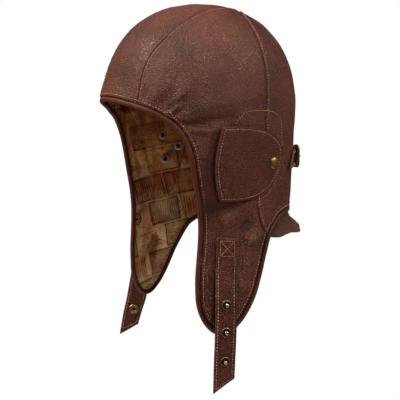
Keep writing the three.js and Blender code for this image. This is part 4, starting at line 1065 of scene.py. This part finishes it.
# Leather: the outer face carries all the relief, the inner face only the folds.
def leatherPanel(name, node, turn, drop):
    height, toEdge, detail = leatherHeight(turn, drop)
    up = outward(turn, drop)
    here = smoothPoint(turn, drop)
    outer = here + up * height[..., None]
    inner = here + up * (foldHeight(turn, drop) - leather["thick"])[..., None]
    marks = {"toEdge": toEdge, "relief": detail, "fromHole": toEyelet(turn, drop)}
    marks["shade"] = castShade(turn, drop)
    piece = makeSheet(name, outer, inner, 0, capLeather, marks)
    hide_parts(node)
    return piece


# Where the lining has bunched: from turn, drop, to turn, drop, width in mm, height inwards.
liningFolds = [
    (57.5, 1.03, 54.5, 1.27, 2.2, 1.9), (52.0, 1.02, 50.5, 1.14, 1.8, -1.1),
    (46.0, 0.96, 47.5, 1.06, 2.0, 1.4), (61.0, 0.96, 70.0, 1.10, 2.2, 1.2),
    (74.0, 0.98, 84.0, 1.08, 2.4, -1.0), (64.5, 1.40, 63.0, 1.90, 2.4, 1.3),
    (80.0, 1.75, 74.0, 2.15, 2.6, 1.5), (93.0, 1.78, 101.0, 2.12, 2.2, 1.8),
    (98.0, 1.75, 106.0, 2.05, 2.0, -1.0), (88.0, 2.22, 96.0, 2.34, 2.2, 1.0),
    (74.0, 2.42, 84.0, 2.46, 2.2, 1.1), (66.0, 2.20, 62.0, 2.75, 2.2, 1.2),
]


# How the lining hangs: mm from seams and eyelets over which it comes loose, how far it stands
# in, its swells, and how it is pinched thin at its edges.
slack = {
    "nearSeam": (0, 12), "nearEyelet": (4.5, 9), "base": 0.7, "swell": 0.8, "swellSize": 38,
    "fine": 0.6, "fineSize": 14, "fineStretch": [1, 1, 0.4], "foldEnds": 0.2, "least": -0.25,
    "pinched": 0.5, "pinchWidth": 1.2, "clothPerDegree": 1.52,
}


# Lining: slack between its seams, with slow folds that lean down the flaps.
def liningPanel(name, node, turn, drop):
    here = smoothPoint(turn, drop)
    half = onLeft(here)
    toEdge = np.min([nearest(half, line)[0] for line in seamPoints[handOf(turn)].values()], 0)
    loose = eased(*slack["nearSeam"], toEdge) * eased(*slack["nearEyelet"], toEyelet(turn, drop))
    inwards = slack["base"] + slack["swell"] * swells(here, slack["swellSize"], 5)
    inwards = inwards + slack["fine"] * swells(here * slack["fineStretch"], slack["fineSize"], 6)
    inwards = inwards + creaseHeight(half, liningFolds, slack["foldEnds"])
    inwards = loose * np.maximum(inwards, slack["least"])
    lift = foldHeight(turn, drop) - leather["thick"] - leather["liningGap"] - inwards
    up = outward(turn, drop)
    outer = here + up * lift[..., None]
    pinch = slack["pinched"] * hump(toEdge, slack["pinchWidth"])
    inner = here + up * (lift - leather["liningThick"] + pinch)[..., None]
    cloth = np.stack([turn * slack["clothPerDegree"] / 1000, fallOf(drop) / 1000], -1)
    marks = {"toEdge": toEdge, "relief": inwards, "fromHole": toEyelet(turn, drop)}
    piece = makeSheet(name, outer, inner, 0, liningCloth, marks, cloth)
    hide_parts(node)
    return piece


# How far down the side a drop lies, in mm along the surface.
dropSteps = np.linspace(0, 3.3, 661)
fallSteps = lengthsAlong(smoothPoint(75, dropSteps))


def fallOf(drop):
    return np.interp(drop, dropSteps, fallSteps)


for kind, (spots, lastRow, width, outerNode, innerNode) in panelPlan.items():
    for side, ending in ((1, ""),) if kind == "front" else hands:
        outerPlaces = panelGrid(spots, lastRow, width, panels["leatherStep"], side)
        innerPlaces = panelGrid(spots, lastRow, width, panels["liningStep"], side)
        leatherPanel(outerNode + "_leather" + ending, outerNode + ending, *outerPlaces)
        liningPanel(innerNode + "_cloth" + ending, innerNode + ending, *innerPlaces)
print("panels and lining made")


# The bound edge
binding = {
    "reach": 5.2, "lift": -1.5, "halfHeight": 2.55, "step": 1.3, "corners": 16, "squareness": 2.3,
    "pull": 0.025, "pullEvery": 3.5, "swell": 0.03, "swellSize": 16,
}


# The roll: a rounded section carried round the whole edge, its middle half its width beyond
# the leather, breathing a little where the stitches pull it in.
def bindingRoll():
    turn, drop = seamLines[1]["rim"]
    rightTurn, rightDrop = seamLines[-1]["rim"]
    loopTurn = np.concatenate([turn, 360 - rightTurn[::-1][1:-1]])
    loopDrop = np.concatenate([drop, rightDrop[::-1][1:-1]])
    edge = capPoint(loopTurn, loopDrop, binding["lift"])
    up = outward(loopTurn, loopDrop)
    total = lengthsAlong(np.concatenate([edge, edge[:1]]))
    even = np.arange(0, total[-1], binding["step"])

    def around(values):
        closed = np.concatenate([values, values[:1]])
        return np.stack([np.interp(even, total, closed[:, k]) for k in range(3)], -1)

    def softened(values, reach):
        return sum(np.roll(values, k, 0) for k in range(-reach, reach + 1)) / (2 * reach + 1)

    edge, up = softened(around(edge), 3), unit(softened(around(up), 3))
    run = unit(np.roll(edge, -1, 0) - np.roll(edge, 1, 0))
    away = unit(softened(np.cross(run, up), 2))
    angle = np.arange(binding["corners"]) * 2 * math.pi / binding["corners"]
    c, s = np.cos(angle), np.sin(angle)
    power = 2 / binding["squareness"]
    ring = np.stack([np.sign(c) * np.abs(c) ** power, np.sign(s) * np.abs(s) ** power], -1)
    pull = 1 + binding["pull"] * wave(even, binding["pullEvery"])
    pull = pull + binding["swell"] * swells(edge, binding["swellSize"], 11)
    half = binding["reach"] / 2
    wide = (half * pull)[:, None, None] * ring[None, :, :1] * away[:, None]
    high = (binding["halfHeight"] * pull)[:, None, None] * ring[None, :, 1:] * up[:, None]
    points = edge[:, None] + away[:, None] * half + wide + high
    # Painted shade: the roll's turned-in side and its foot against the leather are marked as edge, so they
    # are painted darker; its outer crest is marked raised, so it is lighter as rubbed wear.
    toEdge = np.broadcast_to(np.where(s < -0.3, 0.5, (c + 1) * 2.2), points.shape[:2])
    detail = np.broadcast_to(np.maximum(c, 0) * 0.4 + s * 0.2, points.shape[:2])
    marks = {"toEdge": toEdge, "relief": detail}
    piece = makePiece("edge_binding_leather", points, carried(points, True), bindingLeather, marks)
    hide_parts("face_binding", "neck_binding")


bindingRoll()
print("edge bound")


# The neck skirt
skirt = {
    "turn": [
        105.5, 108.5, 112, 116, 120.5, 125.5, 130.5, 136, 142, 148, 154, 160, 167, 173.5, 180,
        186, 192, 198, 203.5, 209, 214, 219, 224, 229, 233.5, 237.5, 241, 244,
    ],
    "bottom": [
        2.262, 2.272, 2.285, 2.285, 2.275, 2.275, 2.285, 2.3, 2.3, 2.275, 2.26, 2.265, 2.29, 2.31,
        2.32, 2.325, 2.33, 2.328, 2.32, 2.325, 2.335, 2.335, 2.33, 2.336, 2.35, 2.358, 2.356, 2.352,
    ],
    "flare": [
        -3.4, -2.6, -1, 2.5, 4, 5, 7.5, 10.5, 11.5, 10.5, 11, 12.5, 13, 13, 12.5, 13.5, 14, 12.5,
        11.5, 12, 12, 9.5, 6, 4, 2.5, -1, -2.6, -3.4,
    ],
    "down": [0, 0.22, 0.6, 1], "flared": [0, 0.26, 0.48, 1], "thick": 1.3, "caught": 0.045,
    "topInside": 0.8, "hemInside": 1.9, "ruffle": 1.2, "columns": 220, "rows": 34,
}


# How far down the hem lies at a turn, which runs on past 180 to the right side.
def hemDrop(turn):
    sides = []
    for side, here in ((1, turn), (-1, 360 - turn)):
        start, low = rowsOf[side]["back"][notchRow], rowsOf[side]["backDrop"][notchRow]
        part = np.clip((here - start) / (180 - start), 0, 1)
        sides.append(mixed(low, sideRows["nape"][notchRow], hemRise(part, side)))
    return np.where(turn < 180, *sides)


# A strip hung inside the hem: it leaves the lining there and swings out, soon at first and
# most towards its lower edge, with shallow ruffles that grow on the way down.
def neckSkirt():
    turn = np.linspace(skirt["turn"][0], skirt["turn"][-1], skirt["columns"])[None]
    fromEnd = np.minimum(turn - skirt["turn"][0], skirt["turn"][-1] - turn)
    bottom, flare = (curveThrough(skirt["turn"], skirt[k], turn) for k in ("bottom", "flare"))
    hem = hemDrop(turn)
    part = np.concatenate([[-0.5, 0], np.linspace(0, 1, skirt["rows"])[1:]])[:, None]
    hung = np.maximum(part, 0)
    below = np.where(part < 0, -skirt["caught"], mixed(skirt["caught"], bottom - hem, hung))
    liningFace = -leather["thick"] - leather["liningGap"] - leather["liningThick"]
    start = liningFace - np.where(part < 0, skirt["topInside"], skirt["hemInside"])
    waves = np.sin(np.radians(turn * 13)) + 0.5 * np.sin(np.radians(turn * 29 + 40))
    ruffle = skirt["ruffle"] * hung ** 1.3 * waves
    swung = curveThrough(skirt["down"], skirt["flared"], hung)
    lift = mixed(start, flare + ruffle * eased(0, 16, fromEnd), swung)
    drop = hem + below
    out = outward(turn, drop)
    flat = unit(out * [1, 1, 0])
    lift = lift + foldHeight(turn, hem + skirt["caught"] / 2)
    outer = smoothPoint(turn, drop) + flat * lift[..., None]
    inner = outer - flat * skirt["thick"]
    # The skirt's lower edge takes the dark edge tone as its cut edge's own colour; its ruffle hollows are
    # painted darker as painted shade.
    marks = {"toEdge": (1 - hung) * 34, "relief": ruffle}
    piece = makeSheet("neck_skirt_leather", outer, inner, 0.25, skirtLeather, marks)
    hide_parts("neck_skirt")
    return outer


neckSkirt()
print("skirt hung")


# Ear covers

# Rings from the outline in to the middle. The flap swells over the ear as 1 - ring to the 2.5,
# its front stands off the cheek, and its edge is rounded and drawn down by the stitches.
def coverLift(turn, drop, ring):
    swell = cover["middle"] * (1 - ring ** cover["swellPower"])
    swell = swell + cover["front"] * eased(*cover["frontTurns"], turn)
    here = smoothPoint(turn, drop)
    toEdge, along = nearest(here, coverLine)
    puff = 0.22 * swells(here, 26, 21) + 0.12 * swells(here, 11, 22)
    waves = wave(along, cover["puckerEvery"]) + 0.8 * wave(along, cover["pullEvery"])
    drawn = hump((ring - cover["stitch"]) * cover["mmPerRing"], 1.0)
    drawn = drawn * (cover["pucker"] * waves - cover["stitchDip"])
    detail = puff * eased(0, 8, toEdge) + drawn + 0.2 * hump(toEdge - 1.4, 0.8)
    rounding = -cover["rounding"] * hump(toEdge, cover["roundingWidth"])
    return cover["edge"] + swell, detail + rounding, toEdge


def earCover(side, ending):
    outlineTurn, outlineDrop = coverOutline(cover["around"])
    edgeRings = 1 - 0.2 * np.linspace(0, 1, cover["edgeRings"]) ** 1.2
    innerRings = np.linspace(0.785, 0, cover["rings"] - cover["edgeRings"])
    ring = np.concatenate([edgeRings, innerRings])[:, None]
    turn = mixed(cover["middleTurn"], outlineTurn[None], ring)
    drop = mixed(cover["middleDrop"], outlineDrop[None], ring)
    base, detail, toEdge = coverLift(turn, drop, ring)
    outer = capPoint(turn * side, drop, base + leather["strapThick"] + detail)
    inner = capPoint(turn * side, drop, base + 0.3 * hump(toEdge, 0.7))
    edge = (outer[0] + inner[0]) / 2 + unit(outer[0] - outer[2]) * 0.45
    points = np.concatenate([outer[::-1], edge[None], inner])
    mark = np.concatenate([toEdge[::-1], toEdge[:1], toEdge])
    # The wall round the cover's edge is marked raised, so it is painted lighter: rubbed wear and a painted
    # highlight along the edge.
    high = np.concatenate([detail[::-1], detail[:1] + 0.6, detail * 0])
    marks = {"toEdge": mark + 1.2, "relief": high}
    piece = makePiece("ear_cover_leather" + ending, points, carried(points, False), coverLeather, marks)
    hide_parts("ear_cover" + ending)


# The row of stitches round a cover, a little inside its outline.
def coverRow(side):
    outlineTurn, outlineDrop = coverOutline(600)
    ring = np.full(601, cover["stitch"])
    turn = mixed(cover["middleTurn"], np.append(outlineTurn, outlineTurn[0]), ring)
    drop = mixed(cover["middleDrop"], np.append(outlineDrop, outlineDrop[0]), ring)
    base, detail, toEdge = coverLift(turn, drop, ring)
    lift = base + leather["strapThick"] + detail
    return capPoint(turn * side, drop, lift), outward(turn * side, drop)


for side, ending in hands:
    earCover(side, ending)
makeStitches("stitches_ear_covers", [coverRow(side) for side in (1, -1)], paleThread)
print("ear covers made")


# Snaps, eyelets and studs
snap = {"turn": 107.6, "drop": 1.49, "radius": 6.4, "height": 3.2, "lift": 4.45}


def spotAndAxis(turn, drop, lift):
    return capPoint(turn, drop, lift), outward(turn, drop)


def domedProfile(radius, height):
    angle = np.linspace(0, math.pi / 2, 12)
    rim = [(0, 0), (radius * 0.97, 0), (radius, 0.25), (radius, 0.7), (radius * 0.965, 1.0)]
    return rim + [(radius * 0.93 * math.cos(a), 1.0 + (height - 1.0) * math.sin(a)) for a in angle]


for side, ending in hands:
    place, axis = spotAndAxis(snap["turn"] * side, snap["drop"], snap["lift"])
    dome = domedProfile(snap["radius"], snap["height"])
    cap = turnedPiece("ear_snap_cap" + ending, dome, place, axis, brass, 48)
    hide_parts("ear_snap" + ending)
    for k in range(3):
        place, axis = spotAndAxis(eyelets["turn"][k] * side, eyelets["drop"][k], 0)
        low = eyelets["inside"]
        angle = np.linspace(-math.pi / 2, math.pi / 2, 9)
        rolled = [(3.9 + 1.1 * math.cos(a), low - 0.15 - 0.65 * (0.5 + 0.5 * math.sin(a))) for a in angle]
        inner = [(2.2, 0.35), (2.2, low - 0.45), (2.45, low - 0.78)]
        profile = inner + rolled[::-1] + [(2.9, low - 0.1), (2.9, 0.35)]
        ring = turnedPiece("eyelet_ring" + ending + "_" + str(k + 1), profile, place, axis, steel, 32)
        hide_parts("eyelet" + ending + "_" + str(k + 1))
print("snaps and eyelets set")


# Chin straps
def chinStrap(ending):
    table = strapRows[ending]
    last = len(table["x"]) - 1
    rows = denseRowsOfStrap(ending, last)[:, None]
    across = (denseParts(strap["columns"]) * 2 - 1)[None]
    middle, out = strapPoint(ending, rows, np.broadcast_to(across, (len(rows), across.shape[1])))
    face = facing(np.gradient(middle, axis=1), np.gradient(middle, axis=0), out)
    toEdge, rounding, drawn, detail = strapRelief(middle, strap, 31)
    detail = detail + 0.1 * hump(toEdge - 1.2, 0.7)
    half = leather["strapThick"] / 2
    outer = middle + face * (half + detail + rounding)[..., None]
    inner = middle - face * (half + rounding + drawn)[..., None]
    marks = {"toEdge": toEdge + 1.0, "relief": detail + 0.6 * hump(toEdge, 0.8)}
    piece = makeSheet("chin_strap_leather" + ending, outer, inner, 0.4, strapLeather, marks)
    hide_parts("chin_strap" + ending)


def denseRowsOfStrap(ending, last):
    rows = np.linspace(0, last, 600)
    front = strapPoint(ending, rows, np.full(600, -1.0))[0]
    total = lengthsAlong(front)
    even = np.linspace(0, 1, int(total[-1] / strap["step"]))
    return np.interp(even, total / total[-1], rows)


# A line on the strap given by rows and places across, with the way out of it.
def strapLine(ending, rows, across, lift):
    t = np.linspace(0, 1, 400)
    keys = np.linspace(0, 1, len(rows))
    row, place = np.interp(t, keys, rows), np.interp(t, keys, across)
    points, out = strapPoint(ending, row, place)
    ahead = strapPoint(ending, row + 0.01, place)[0] - strapPoint(ending, row - 0.01, place)[0]
    beside = strapPoint(ending, row, place + 0.01)[0] - strapPoint(ending, row, place - 0.01)[0]
    face = facing(beside, ahead, out)
    return points + face * lift, face * np.sign(lift)


def strapSpot(ending, height, shift):
    table = strapRows[ending]
    rows = np.linspace(0, len(table["x"]) - 1, 2000)
    middle = strapPoint(ending, rows, np.zeros(2000))[0]
    row = rows[np.abs(middle[:, 2] - height).argmin()]
    points, face = strapLine(ending, [row, row + 0.001], [0, 0], shift)
    return points[0], face[0]


for ending in ("_left", "_right"):
    chinStrap(ending)

studProfile = [
    (0, 0), (4.7, 0), (5.0, 0.25), (4.95, 0.6), (4.5, 1.05), (4.0, 1.1), (3.6, 0.8), (3.2, 0.6), (1.7, 0.55),
    (1.45, 0.8), (1.4, 1.9), (1.75, 2.3), (2.05, 2.9), (2.0, 3.4), (1.6, 4.0), (0.9, 4.4), (0, 4.5),
]
studHeights = (-291.8, -319.4, -349.8)
socketHeight = -347
for k, height in enumerate(studHeights):
    place, axis = strapSpot("_left", height, leather["strapThick"] / 2 + 0.1)
    stud = turnedPiece("chin_stud_post_" + str(k + 1), studProfile, place, axis, studBrass, 36)
    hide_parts("chin_stud_" + str(k + 1))
socketProfile = [
    (0, 0), (5.5, 0), (5.75, 0.3), (5.6, 0.9), (5.1, 1.5), (4.6, 1.85), (4.1, 1.75), (3.7, 1.45), (3.2, 1.5),
    (2.7, 1.75), (2.3, 1.5), (2.1, 1.1), (2.1, 0.3), (0, 0.3),
]
place, axis = strapSpot("_right", socketHeight, -leather["strapThick"] / 2 - 0.1)
socket = turnedPiece("chin_socket_ring", socketProfile, place, axis, socketBrass, 40)
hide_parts("chin_socket")
print("chin straps and studs made")


# Nape strap and buckle
nape = {
    "top": 1.425, "bottom": 1.610, "lift": 0.7, "thick": 2.0, "stitch": 2.4,
    "overBar": 3.6, "riseFrom": 160.5, "riseTo": 154.2,
    "rounding": 0.5, "pucker": 0.06, "stitchDip": 0.2, "swell": 0.12, "swellSize": 20,
    "_left": {"endTop": 137.5, "endBottom": 130.0, "stop": 152.3},
    "_right": {"endTop": 222.5, "endBottom": 230.0, "stop": 150.8},
}


def napePlace(ending, along, down):
    ends = nape[ending]
    drop = mixed(nape["top"], nape["bottom"], down)
    turn = mixed(mixed(ends["endTop"], ends["endBottom"], down), ends["stop"], along)
    overBar = nape["overBar"] if ending == "_right" else 0
    lift = nape["lift"] + overBar * eased(nape["riseFrom"], nape["riseTo"], turn)
    return turn, drop, lift


def napeStrap(ending):
    ends = nape[ending]
    length = abs(ends["endBottom"] - ends["stop"]) * 1.75
    along = denseParts(int(length / 1.3))[:, None]
    down = denseParts(18)[None]
    turn, drop, lift = napePlace(ending, along, down)
    turn, drop, lift = np.broadcast_arrays(turn, drop, lift)
    flat = capPoint(turn, drop, lift)
    toEdge, rounding, drawn, detail = strapRelief(flat, nape, 41)
    outer = capPoint(turn, drop, lift + nape["thick"] + rounding + detail)
    inner = capPoint(turn, drop, lift - rounding)
    marks = {"toEdge": toEdge + 1.0, "relief": detail + 0.6 * hump(toEdge, 0.8)}
    piece = makeSheet("nape_strap_leather" + ending, outer, inner, 0.35, strapLeather, marks)
    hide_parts("nape_strap" + ending)


for ending in ("_left", "_right"):
    napeStrap(ending)

buckle = {
    "turn": 153.4, "drop": 1.5175, "length": 14.5, "width": 22.4, "wire": 1.15, "bar": 1.0,
    "lift": 6.6, "barLift": 2.7, "prong": 0.85, "squareness": 0.42,
}


# A place at the buckle: along the strap, up and off the cap, in mm from its middle.
def buckleSpot(along, up, lift):
    centre = capPoint(buckle["turn"], buckle["drop"], 0)
    flat = unit(outward(buckle["turn"], buckle["drop"]) * [1, 1, 0])
    across = np.cross([0, 0, 1], flat)
    along, up, lift = np.broadcast_arrays(np.asarray(along, float), up, lift)
    return centre + along[..., None] * across + lift[..., None] * flat + up[..., None] * np.array([0, 0, 1])


# A round wire carried along a line, closed or with closed ends.
def wirePoints(line, radius, closed, sides=12):
    run = unit(np.roll(line, -1, 0) - np.roll(line, 1, 0)) if closed else unit(np.gradient(line, axis=0))
    helper = unit(outward(buckle["turn"], buckle["drop"]) * [1, 1, 0])
    side = unit(np.cross(run, helper))
    up = np.cross(side, run)
    angle = np.arange(sides) * 2 * math.pi / sides
    ring = np.cos(angle)[None, :, None] * side[:, None] + np.sin(angle)[None, :, None] * up[:, None]
    return line[:, None] + ring * np.broadcast_to(radius, len(line))[:, None, None]


def bucklePiece():
    angle = np.linspace(0, 2 * math.pi, 72, endpoint=False)
    c, s = np.cos(angle), np.sin(angle)
    along = np.sign(c) * np.abs(c) ** buckle["squareness"] / 2
    up = np.sign(s) * np.abs(s) ** buckle["squareness"] / 2
    dip = (buckle["lift"] - buckle["barLift"]) * (1 - np.abs(along) * 2) ** 1.5
    loop = buckleSpot(along * buckle["length"], up * buckle["width"], buckle["lift"] - dip)
    ring = wirePoints(loop, buckle["wire"], True)
    t = np.linspace(0, 1, 24)
    barLine = buckleSpot(0 * t, mixed(-0.5, 0.5, t) * buckle["width"], buckle["barLift"])
    bar = wirePoints(barLine, buckle["bar"], False)
    taper = mixed(1, 0.72, t) * buckle["prong"]
    taper[[0, -1]] = 0.02
    rise = buckle["barLift"] + 1.2 + 3.9 * eased(0, 0.55, t) + 0.5 * t
    prong = wirePoints(buckleSpot(mixed(0.5, -buckle["length"] * 0.56, t), 0.8 * t, rise), taper, False)
    wires = []
    for points, closed in ((ring, True), (bar, False), (prong, False)):
        wires.append((points.reshape(-1, 3), carried(points, closed)))
    starts = np.cumsum([0] + [len(points) for points, faces in wires])
    points = np.concatenate([points for points, faces in wires])
    faces = np.concatenate([wire[1] + start for wire, start in zip(wires, starts)])
    piece = makePiece("nape_buckle_wire", points, faces, darkBrass, sharp=60)
    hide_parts("nape_buckle")


bucklePiece()
print("nape strap buckled")


# Stitches
patch = [
    (82.1, 1.088), (83.8, 1.039), (86.9, 0.998), (90.1, 0.987), (93.4, 0.984), (102.2, 0.987),
    (106.8, 0.991), (110.9, 1.002), (114.4, 1.036), (116.8, 1.08), (117.6, 1.16), (117.9, 1.26),
    (117.8, 1.38), (117.4, 1.5), (116.0, 1.6), (113.2, 1.69), (109.0, 1.765), (103.5, 1.825), (98.5, 1.85),
]


def besideSeam(name, place, first, last, side):
    turn, drop = seamLines[side][name]
    total = lengthsAlong(seamPoints[side][name])
    keep = (total >= total[-1] * first) & (total <= total[-1] * last)
    return besideLine(turn[keep], drop[keep], place)


# A row beside a seam on both sides of the cap.
def seamRow(name, place, first, last):
    rows = []
    for side in (1, -1):
        turn, drop = besideSeam(name, place, first, last, side)
        rows.append(leatherRow(turn * side, drop))
    return rows


# A row through places given as turn and drop, on both sides of the cap.
def freeRow(places):
    keys = np.arange(len(places))
    at = np.linspace(0, len(places) - 1, 40 * len(places))
    turn, drop = (curveThrough(keys, values, at) for values in zip(*places))
    return [leatherRow(turn * side, drop) for side in (1, -1)]


# A row on a strap, on its outer face where lift is above 0 and on its inner face below.
def strapStitches(ending):
    last = len(strapRows[ending]["x"]) - 1
    rim = ([1.36, last - 0.22, last - 0.22, 1.36], [0.72, 0.72, -0.8, -0.8])
    return [strapLine(ending, *rim, face) for face in (1.1, -1.1)]


# The square with its two diagonals that fixes a strap to the flap.
def boxStitches(ending):
    square = ([0.22, 0.22, 1.36, 1.36, 0.22], [-0.68, 0.68, 0.68, -0.68, -0.68])
    crosses = [([0.26, 1.32], [-0.62, 0.62]), ([1.32, 0.26], [-0.62, 0.62])]
    return [strapLine(ending, row, across, 1.2) for row, across in [square] + crosses]


def napeStitches(ending):
    rows = []
    t = np.linspace(0, 1, 300)
    long = [0.03, 0.985]
    for along, down in ((long, [0.13, 0.13]), (long, [0.87, 0.87]), ([0.035, 0.035], [0.15, 0.85])):
        turn, drop, lift = napePlace(ending, mixed(along[0], along[1], t), mixed(down[0], down[1], t))
        rows.append((capPoint(turn, drop, lift + nape["thick"] - 0.2), outward(turn, drop)))
    return rows


# Rows beside the seams: the piece's name, the seam, the part of it sewn, and the thread.
seamStitches = [
    ("stitches_forehead_seams", "forehead", 0.03, 0.98, brownThread),
    ("stitches_ear_seams", "ear", 0.02, 0.985, paleThread),
    ("stitches_nape_seam", "nape", 0.03, 0.98, paleThread),
    ("stitches_edge", "rim", 0.0, 1.0, paleThread),
]
for name, seam, first, last, thread in seamStitches:
    makeStitches(name, seamRow(seam, stitchPlace[seam], first, last), thread)
makeStitches("stitches_ear_patches", freeRow(patch), goldThread)
for ending in ("_left", "_right"):
    makeStitches("stitches_chin_strap" + ending, strapStitches(ending), paleThread)
    makeStitches("stitches_strap_box" + ending, boxStitches(ending), goldThread, pitch=2.7, length=2.4)
    makeStitches("stitches_nape_strap" + ending, napeStitches(ending), paleThread)
print("cap stitched")


# Studio
studio = {
    "world": 0.06, "floor": -0.62, "backdrop": 6.0,
    "floorRadius": 0.34, "lightTint": (1.0, 0.97, 0.94), "aim": (0, 0, -0.14),
}
# Each light: place, size in m, power, and whether glossy surfaces mirror it.
lights = {
    "key": ((-0.45, -1.15, 1.15), 0.7, 27.0, True),
    "right": ((1.0, 0.85, 0.9), 0.6, 12.0, True),
    "top": ((0.75, -0.1, 1.4), 0.6, 6.5, True),
    "front_fill": ((1.1, -1.7, -0.5), 1.0, 7.0, False),
    "behind": ((-1.2, 1.2, 0.3), 1.0, 22.0, False),
}


# The backdrop is a white dome that only the camera sees, so it lights nothing.
def addStudio():
    bpy.ops.mesh.primitive_uv_sphere_add(segments=48, ring_count=24, radius=studio["backdrop"])
    dome = bpy.context.object
    dome.name = "backdrop"
    bpy.ops.mesh.primitive_circle_add(
        vertices=96, radius=studio["floorRadius"], fill_type="NGON", location=(0, 0, studio["floor"]),
    )
    floor = bpy.context.object
    floor.name = "floor"
    glow = Finish("backdrop_white")
    shine = glow.node("ShaderNodeEmission", {}, {"Color": (1, 1, 1, 1), "Strength": 1.0})
    plug(glow.tree.nodes.new("ShaderNodeOutputMaterial").inputs["Surface"], shine)
    dome.data.materials.append(glow.material)
    pale = Finish("floor_pale")
    floor.data.materials.append(pale.surface(colour=(0.8, 0.79, 0.78, 1), rough=0.9))
    dome.visible_diffuse = dome.visible_glossy = dome.visible_transmission = dome.visible_shadow = False
    for name, (place, size, power, mirrored) in lights.items():
        lamp = bpy.data.lights.new(name, "AREA")
        lamp.shape = "DISK"
        lamp.size = size
        lamp.energy = power
        lamp.color = studio["lightTint"]
        lampObject = bpy.data.objects.new(name, lamp)
        bpy.context.collection.objects.link(lampObject)
        lampObject.location = place
        lampObject.visible_glossy = mirrored
        aim = Vector(studio["aim"]) - Vector(place)
        lampObject.rotation_euler = aim.to_track_quat("-Z", "Y").to_euler()
    world = bpy.data.worlds.new("studio")
    world.use_nodes = True
    world.node_tree.nodes["Background"].inputs["Color"].default_value = (1, 1, 1, 1)
    world.node_tree.nodes["Background"].inputs["Strength"].default_value = studio["world"]
    bpy.context.scene.world = world


addStudio()
bpy.context.scene.view_settings.view_transform = "Standard"
print("studio lit")
